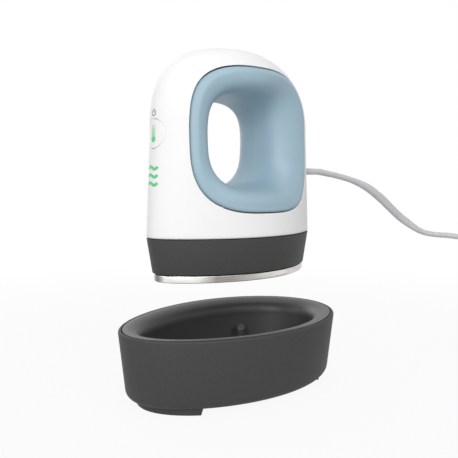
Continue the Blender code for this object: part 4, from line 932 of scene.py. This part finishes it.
def make_post(x, y, half_length, half_width, material):
    base_z = LINER_FLOOR_Z - LINER_WALL / 2
    dome_z = POST_TOP_Z - POST_RADIUS
    profile = [(POST_RADIUS, base_z)]
    profile += [(POST_RADIUS * math.cos(turn), dome_z + POST_RADIUS * math.sin(turn))
                for turn in arc_steps(10)[:-1]]
    profile += [(POST_TIP_RADIUS, POST_TOP_Z)]
    rings = [[(x + across, y + along, z) for across, along in circle(radius, POST_SIDES)]
             for radius, z in profile]
    post = loft_piece("post", rings, material)
    inset = ROLL_LENGTH - LINER_WALL / 2
    wall_x = math.copysign(oval_half_width(y, half_length - inset, half_width - inset, STAND_NARROWING_SHARE,
                                           STAND_WIDENING_SHARE), x)
    low, high = sorted((x, wall_x))
    bm = bmesh.new()
    bmesh.ops.create_cube(bm, size=1)
    top_z = POST_TOP_Z - POST_RIB_DROP
    place = Matrix.Translation(((low + high) / 2, y, (base_z + top_z) / 2))
    size = Matrix.Diagonal((high - low, 2 * POST_RIB_HALF_WIDTH, top_z - base_z, 1))
    bmesh.ops.transform(bm, matrix=place @ size, verts=bm.verts[:])
    rib = finish_mesh("rib", bm, material)
    return combine(post, rib, "UNION")


# Cord
def smooth_path(points, step):
    """Points read at even steps from a Catmull-Rom curve through the route's own points."""
    route = [Vector(point) for point in points]
    ends = [2 * route[0] - route[1]] + route + [2 * route[-1] - route[-2]]
    fine = []
    for before, start, end, after in zip(ends, ends[1:], ends[2:], ends[3:]):
        for index in range(CURVE_STEPS):
            t = index / CURVE_STEPS
            slope_in = (end - before) / 2
            slope_out = (after - start) / 2
            fine.append(start * (2 * t**3 - 3 * t**2 + 1) + slope_in * (t**3 - 2 * t**2 + t)
                        + end * (3 * t**2 - 2 * t**3) + slope_out * (t**3 - t**2))
    fine.append(route[-1])
    lengths = [0.0]
    for start, end in zip(fine, fine[1:]):
        lengths.append(lengths[-1] + (end - start).length)
    count = max(2, round(lengths[-1] / step))
    even = []
    index = 0
    for number in range(count + 1):
        wanted = lengths[-1] * number / count
        while index < len(fine) - 2 and lengths[index + 1] < wanted:
            index += 1
        share = (wanted - lengths[index]) / (lengths[index + 1] - lengths[index])
        even.append(fine[index].lerp(fine[index + 1], share))
    return even


def coil_centre():
    turn = math.radians(COIL_START_DEGREES)
    reach = CORD_ARC_RADIUS - COIL_OUTER_RADIUS
    return CORD_ARC_RADIUS + reach * math.cos(turn), CORD_ARC_CENTRE_Y + reach * math.sin(turn)


def coil_points():
    """In along the lower layer, up a layer, and out along the upper one, then a short straight tail."""
    centre_x, centre_y = coil_centre()
    reverse_turns = (COIL_OUTER_RADIUS - COIL_INNER_RADIUS) / COIL_PITCH
    total = reverse_turns + COIL_OUT_TURNS
    count = round(total * COIL_POINTS_PER_TURN)
    points = []
    for index in range(count + 1):
        turns = total * index / count
        climb = min(max((turns - reverse_turns) / COIL_CLIMB_TURNS + 0.5, 0), 1)
        z = COIL_LOW_Z + COIL_LAYER_RISE * (1 - math.cos(math.pi * climb)) / 2
        radius = COIL_INNER_RADIUS + COIL_PITCH * abs(turns - reverse_turns)
        angle = math.radians(COIL_START_DEGREES) - math.tau * turns
        points.append(Vector((centre_x + radius * math.cos(angle), centre_y + radius * math.sin(angle), z)))
    heading = (points[-1] - points[-2]).normalized()
    for _ in range(2):
        points.append(points[-1] + heading * COIL_TAIL / 2)
    return points


def cord_route():
    """Straight back from the press, then round an arc that starts in line with it."""
    route = [Vector((0, y, z)) for y, z in CORD_STRAIGHT_LEVELS]
    for degrees, z in CORD_ARC_LEVELS:
        turn = math.radians(degrees)
        route.append(Vector((CORD_ARC_RADIUS * (1 + math.cos(turn)),
                             CORD_ARC_CENTRE_Y + CORD_ARC_RADIUS * math.sin(turn), z)))
    return route


def drop_points():
    start = Vector(CORD_EXIT)
    coil = coil_points()
    turn = math.radians(COIL_START_DEGREES)
    heading = Vector((math.sin(turn), -math.cos(turn), 0))
    start_stub = start + Vector((0, 2 * CAD_CORD_RADIUS, 0))
    end_stub = coil[0] - heading * 2 * CAD_CORD_RADIUS
    route = [start, start_stub] + cord_route() + [end_stub, coil[0]]
    return smooth_path(route, CORD_STEP)


def read_table(table, share):
    for (low_share, low), (high_share, high) in zip(table, table[1:]):
        if share <= high_share:
            inside = (share - low_share) / (high_share - low_share)
            inside = inside * inside * (3 - 2 * inside)
            return low + (high - low) * inside
    return table[-1][1]


def flat_section(width, thickness, steps=10):
    """Outline of the flat twin cord: two round edges joined by nearly flat sides."""
    radius = thickness / 2
    reach = width / 2 - radius
    outline = []
    for end in (1, -1):
        for index in range(steps + 1):
            angle = math.pi * (index / steps - 0.5)
            outline.append((end * (reach + radius * math.cos(angle)), end * radius * math.sin(angle)))
    return outline


def swept_rings(points, turns_degrees, sizes):
    """Rings of the flat section along points; a turn of 0 lays the wide side level."""
    rings = []
    for index, point in enumerate(points):
        along = (points[min(index + 1, len(points) - 1)] - points[max(index - 1, 0)]).normalized()
        level = Vector((0, 0, 1)).cross(along).normalized()
        upright = along.cross(level).normalized()
        turn = math.radians(turns_degrees[index])
        wide = level * math.cos(turn) + upright * math.sin(turn)
        thin = along.cross(wide)
        rings.append([point + wide * across + thin * up for across, up in flat_section(*sizes[index])])
    return rings


def make_cord(materials):
    drop = drop_points()
    coil = coil_points()
    points = drop + coil[1:]
    turns = [read_table(CORD_TWIST, index / (len(drop) - 1)) for index in range(len(drop))]
    turns += [CORD_TWIST[-1][1]] * (len(coil) - 1)
    rings = swept_rings(points, turns, [(CORD_WIDTH, CORD_THICKNESS)] * len(points))
    cord = loft_piece("power_cord", rings, materials["cord_grey"], smooth_degrees=60)
    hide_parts("cord_drop", "cord_coil")
    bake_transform(cord)


def plug_sections(half_height):
    """Stations along the plug: distance, half width, half height and corner share."""
    body_end = PLUG_SLEEVE_LENGTH + PLUG_LENGTH
    sleeve_end = PLUG_SLEEVE_LENGTH * PLUG_SLEEVE_SHARE
    wide_start = PLUG_SLEEVE_LENGTH + PLUG_LENGTH * PLUG_WIDEST_SHARE
    sections = []
    for share in PLUG_SLEEVE_ROWS:
        radius = PLUG_SLEEVE_RADIUS * (1 + PLUG_SLEEVE_FLARE_SHARE * share)
        sections.append((sleeve_end * share, radius, radius, ELLIPSE_CORNER_SHARE))
    neck = PLUG_SLEEVE_RADIUS * (1 + PLUG_SLEEVE_FLARE_SHARE)
    for index in range(PLUG_SWELL_STEPS + 1):
        share = index / PLUG_SWELL_STEPS
        swell = math.sin(math.pi / 2 * share * share * (3 - 2 * share))
        corner_share = ELLIPSE_CORNER_SHARE + (PLUG_CORNER_SHARE - ELLIPSE_CORNER_SHARE) * swell
        sections.append((sleeve_end + (wide_start - sleeve_end) * share,
                         neck + (PLUG_HALF_WIDTH - neck) * swell,
                         neck + (half_height - neck) * swell, corner_share))
    for inset, back in reversed(edge_round(PLUG_EDGE_ROUND, 6)):
        sections.append((body_end - back, PLUG_HALF_WIDTH - inset, half_height - inset, PLUG_CORNER_SHARE))
    return sections


def make_plug(material):
    """Moulded plug that swells smoothly out of its sleeve."""
    points = coil_points()
    heading = points[-1] - points[-2]
    heading.z = 0
    heading.normalize()
    rings = []
    for along, half_width, half_tall, corner_share in plug_sections(points[-1].z):
        outline = rounded_outline((0, 0), (half_width, half_tall), corner_share, ROUND_SIDES)
        rings.append([(across, along, up) for across, up in outline])
    plug = loft_piece("plug_moulding", rings, material)
    turn = Matrix.Rotation(math.atan2(heading.y, heading.x) - math.pi / 2, 4, "Z")
    plug.data.transform(Matrix.Translation(points[-1] + heading * FACE_GAP) @ turn)
    return stand_for(plug, "stand", "cord_grey", "plug_body")


def make_sleeve(material):
    """Slim flat taper between the housing's rear wall and the cord."""
    points = [Vector((0, y - PRESS_CENTRE_Y, CORD_EXIT[2])) for y, _, _ in SLEEVE_STATIONS]
    sizes = [(CORD_WIDTH * wide, CORD_THICKNESS * thick) for _, wide, thick in SLEEVE_STATIONS]
    rings = swept_rings(points, [CORD_TWIST[0][1]] * len(sizes), sizes)
    sleeve = loft_piece("cord_sleeve", rings, material, smooth_degrees=50)
    stand_for(sleeve, "press", "cord_grey", "strain_relief")


def use_cad_nodes(frame, materials):
    """Nodes that keep their CAD shape take a worked material in place of the flat one."""
    for item in frame["record"]["subparts"]:
        node = frame["nodes"][item["node"]]
        if node.hide_render:
            continue
        for slot in node.material_slots:
            slot.material = materials[item["material_slot"]]


# Stage
def ray_share(tree):
    """1 for rays that see the backdrop: camera, glossy and transmission rays."""
    path = tree.nodes.new("ShaderNodeLightPath")
    total = math_node(tree, "MAXIMUM")
    link(tree, path, "Is Camera Ray", total, 0)
    link(tree, path, "Is Glossy Ray", total, 1)
    both = math_node(tree, "MAXIMUM")
    link(tree, total, "Value", both, 0)
    link(tree, path, "Is Transmission Ray", both, 1)
    return both


def make_world():
    world = bpy.data.worlds.new("studio")
    bpy.context.scene.world = world
    world.use_nodes = True
    tree = world.node_tree
    tree.nodes.clear()
    seen = new_node(tree, "ShaderNodeBackground", Color=WHITE)
    lighting = new_node(tree, "ShaderNodeBackground", Color=WHITE, Strength=WORLD_STRENGTH)
    mix = tree.nodes.new("ShaderNodeMixShader")
    link(tree, ray_share(tree), "Value", mix, 0)
    link(tree, lighting, "Background", mix, 1)
    link(tree, seen, "Background", mix, 2)
    output = tree.nodes.new("ShaderNodeOutputWorld")
    link(tree, mix, "Shader", output, "Surface")


def nearness(tree):
    """1 near the stand's middle, falling to 0 further out."""
    place = tree.nodes.new("ShaderNodeTexCoord")
    distance = tree.nodes.new("ShaderNodeVectorMath")
    distance.operation = "LENGTH"
    link(tree, place, "Object", distance, 0)
    fade = map_range(tree, distance, "Value", (SHADOW_NEAR, SHADOW_FAR), (1, 0))
    fade.interpolation_type = "SMOOTHSTEP"
    return fade


def make_floor():
    """White floor whose glow leaves room for a faint shadow near the stand."""
    bm = bmesh.new()
    bmesh.ops.create_grid(bm, x_segments=1, y_segments=1, size=FLOOR_HALF_SIZE)
    material = bpy.data.materials.new("floor_white")
    material.use_nodes = True
    tree = material.node_tree
    matte = tree.nodes["Principled BSDF"]
    matte.inputs["Base Color"].default_value = FLOOR_COLOUR
    matte.inputs["Roughness"].default_value = FLOOR_ROUGHNESS
    glow = new_node(tree, "ShaderNodeEmission", Color=WHITE)
    lit_share = math_node(tree, "MULTIPLY")
    lit_share.inputs[1].default_value = SHADOW_SHARE
    link(tree, nearness(tree), "Result", lit_share, 0)
    glow_share = math_node(tree, "SUBTRACT")
    link(tree, ray_share(tree), "Value", glow_share, 0)
    link(tree, lit_share, "Value", glow_share, 1)
    glow_share.use_clamp = True
    mix = tree.nodes.new("ShaderNodeMixShader")
    link(tree, glow_share, "Value", mix, 0)
    link(tree, matte, "BSDF", mix, 1)
    link(tree, glow, "Emission", mix, 2)
    link(tree, mix, "Shader", tree.nodes["Material Output"], "Surface")
    finish_mesh("floor", bm, material)


def aimed_object(name, data, place, direction):
    aimed = bpy.data.objects.new(name, data)
    bpy.context.scene.collection.objects.link(aimed)
    aimed.location = place
    aimed.rotation_mode = "QUATERNION"
    aimed.rotation_quaternion = direction.to_track_quat("-Z", "Y")
    return aimed


def make_lamp(name, place, size, power):
    lamp = bpy.data.lights.new(name, "AREA")
    lamp.shape = "DISK"
    lamp.size = size
    lamp.energy = power
    aimed_object(name, lamp, place, Vector(LAMP_AIM) - Vector(place))


def make_camera():
    camera = bpy.data.cameras.new("camera")
    camera.lens = CAMERA_LENS_MM
    camera.sensor_width = CAMERA_SENSOR_MM
    camera.clip_start = CAMERA_CLIP_START
    azimuth = math.radians(CAMERA_AZIMUTH_DEGREES)
    pitch = math.radians(CAMERA_PITCH_DEGREES)
    level = math.cos(pitch)
    back = Vector((math.sin(azimuth) * level, -math.cos(azimuth) * level, math.sin(pitch)))
    bpy.context.scene.camera = aimed_object("camera", camera, CAMERA_PLACE, -back)


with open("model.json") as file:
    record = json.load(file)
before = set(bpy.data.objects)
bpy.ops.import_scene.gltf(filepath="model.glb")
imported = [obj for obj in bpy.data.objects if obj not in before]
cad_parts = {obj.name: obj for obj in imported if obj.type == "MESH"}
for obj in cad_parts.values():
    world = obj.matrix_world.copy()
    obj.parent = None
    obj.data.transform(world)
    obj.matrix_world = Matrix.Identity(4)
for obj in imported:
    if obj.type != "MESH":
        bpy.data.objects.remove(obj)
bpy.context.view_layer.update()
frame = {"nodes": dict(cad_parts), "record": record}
bpy.context.scene.view_settings.view_transform = "Standard"
make_camera()
materials = make_materials()
plug = make_plug(materials["cord_grey"])
make_cord(materials)
make_sleeve(materials["cord_grey"])
make_housing(materials["white_shell"])
make_grip("grip_lining_right", "grip_right", 1, materials["soft_grip"])
make_grip("grip_lining_left", "grip_left", -1, materials["soft_grip"])
make_skirt(materials["charcoal"])
make_plate(materials["plate_metal"], materials["plate_face"])
make_button(materials["white_shell"])
make_marks(materials)
make_tub(materials["charcoal"])
make_liner(materials["smooth_charcoal"])
use_cad_nodes(frame, materials)
make_world()
make_floor()
for lamp in LAMPS:
    make_lamp(*lamp)
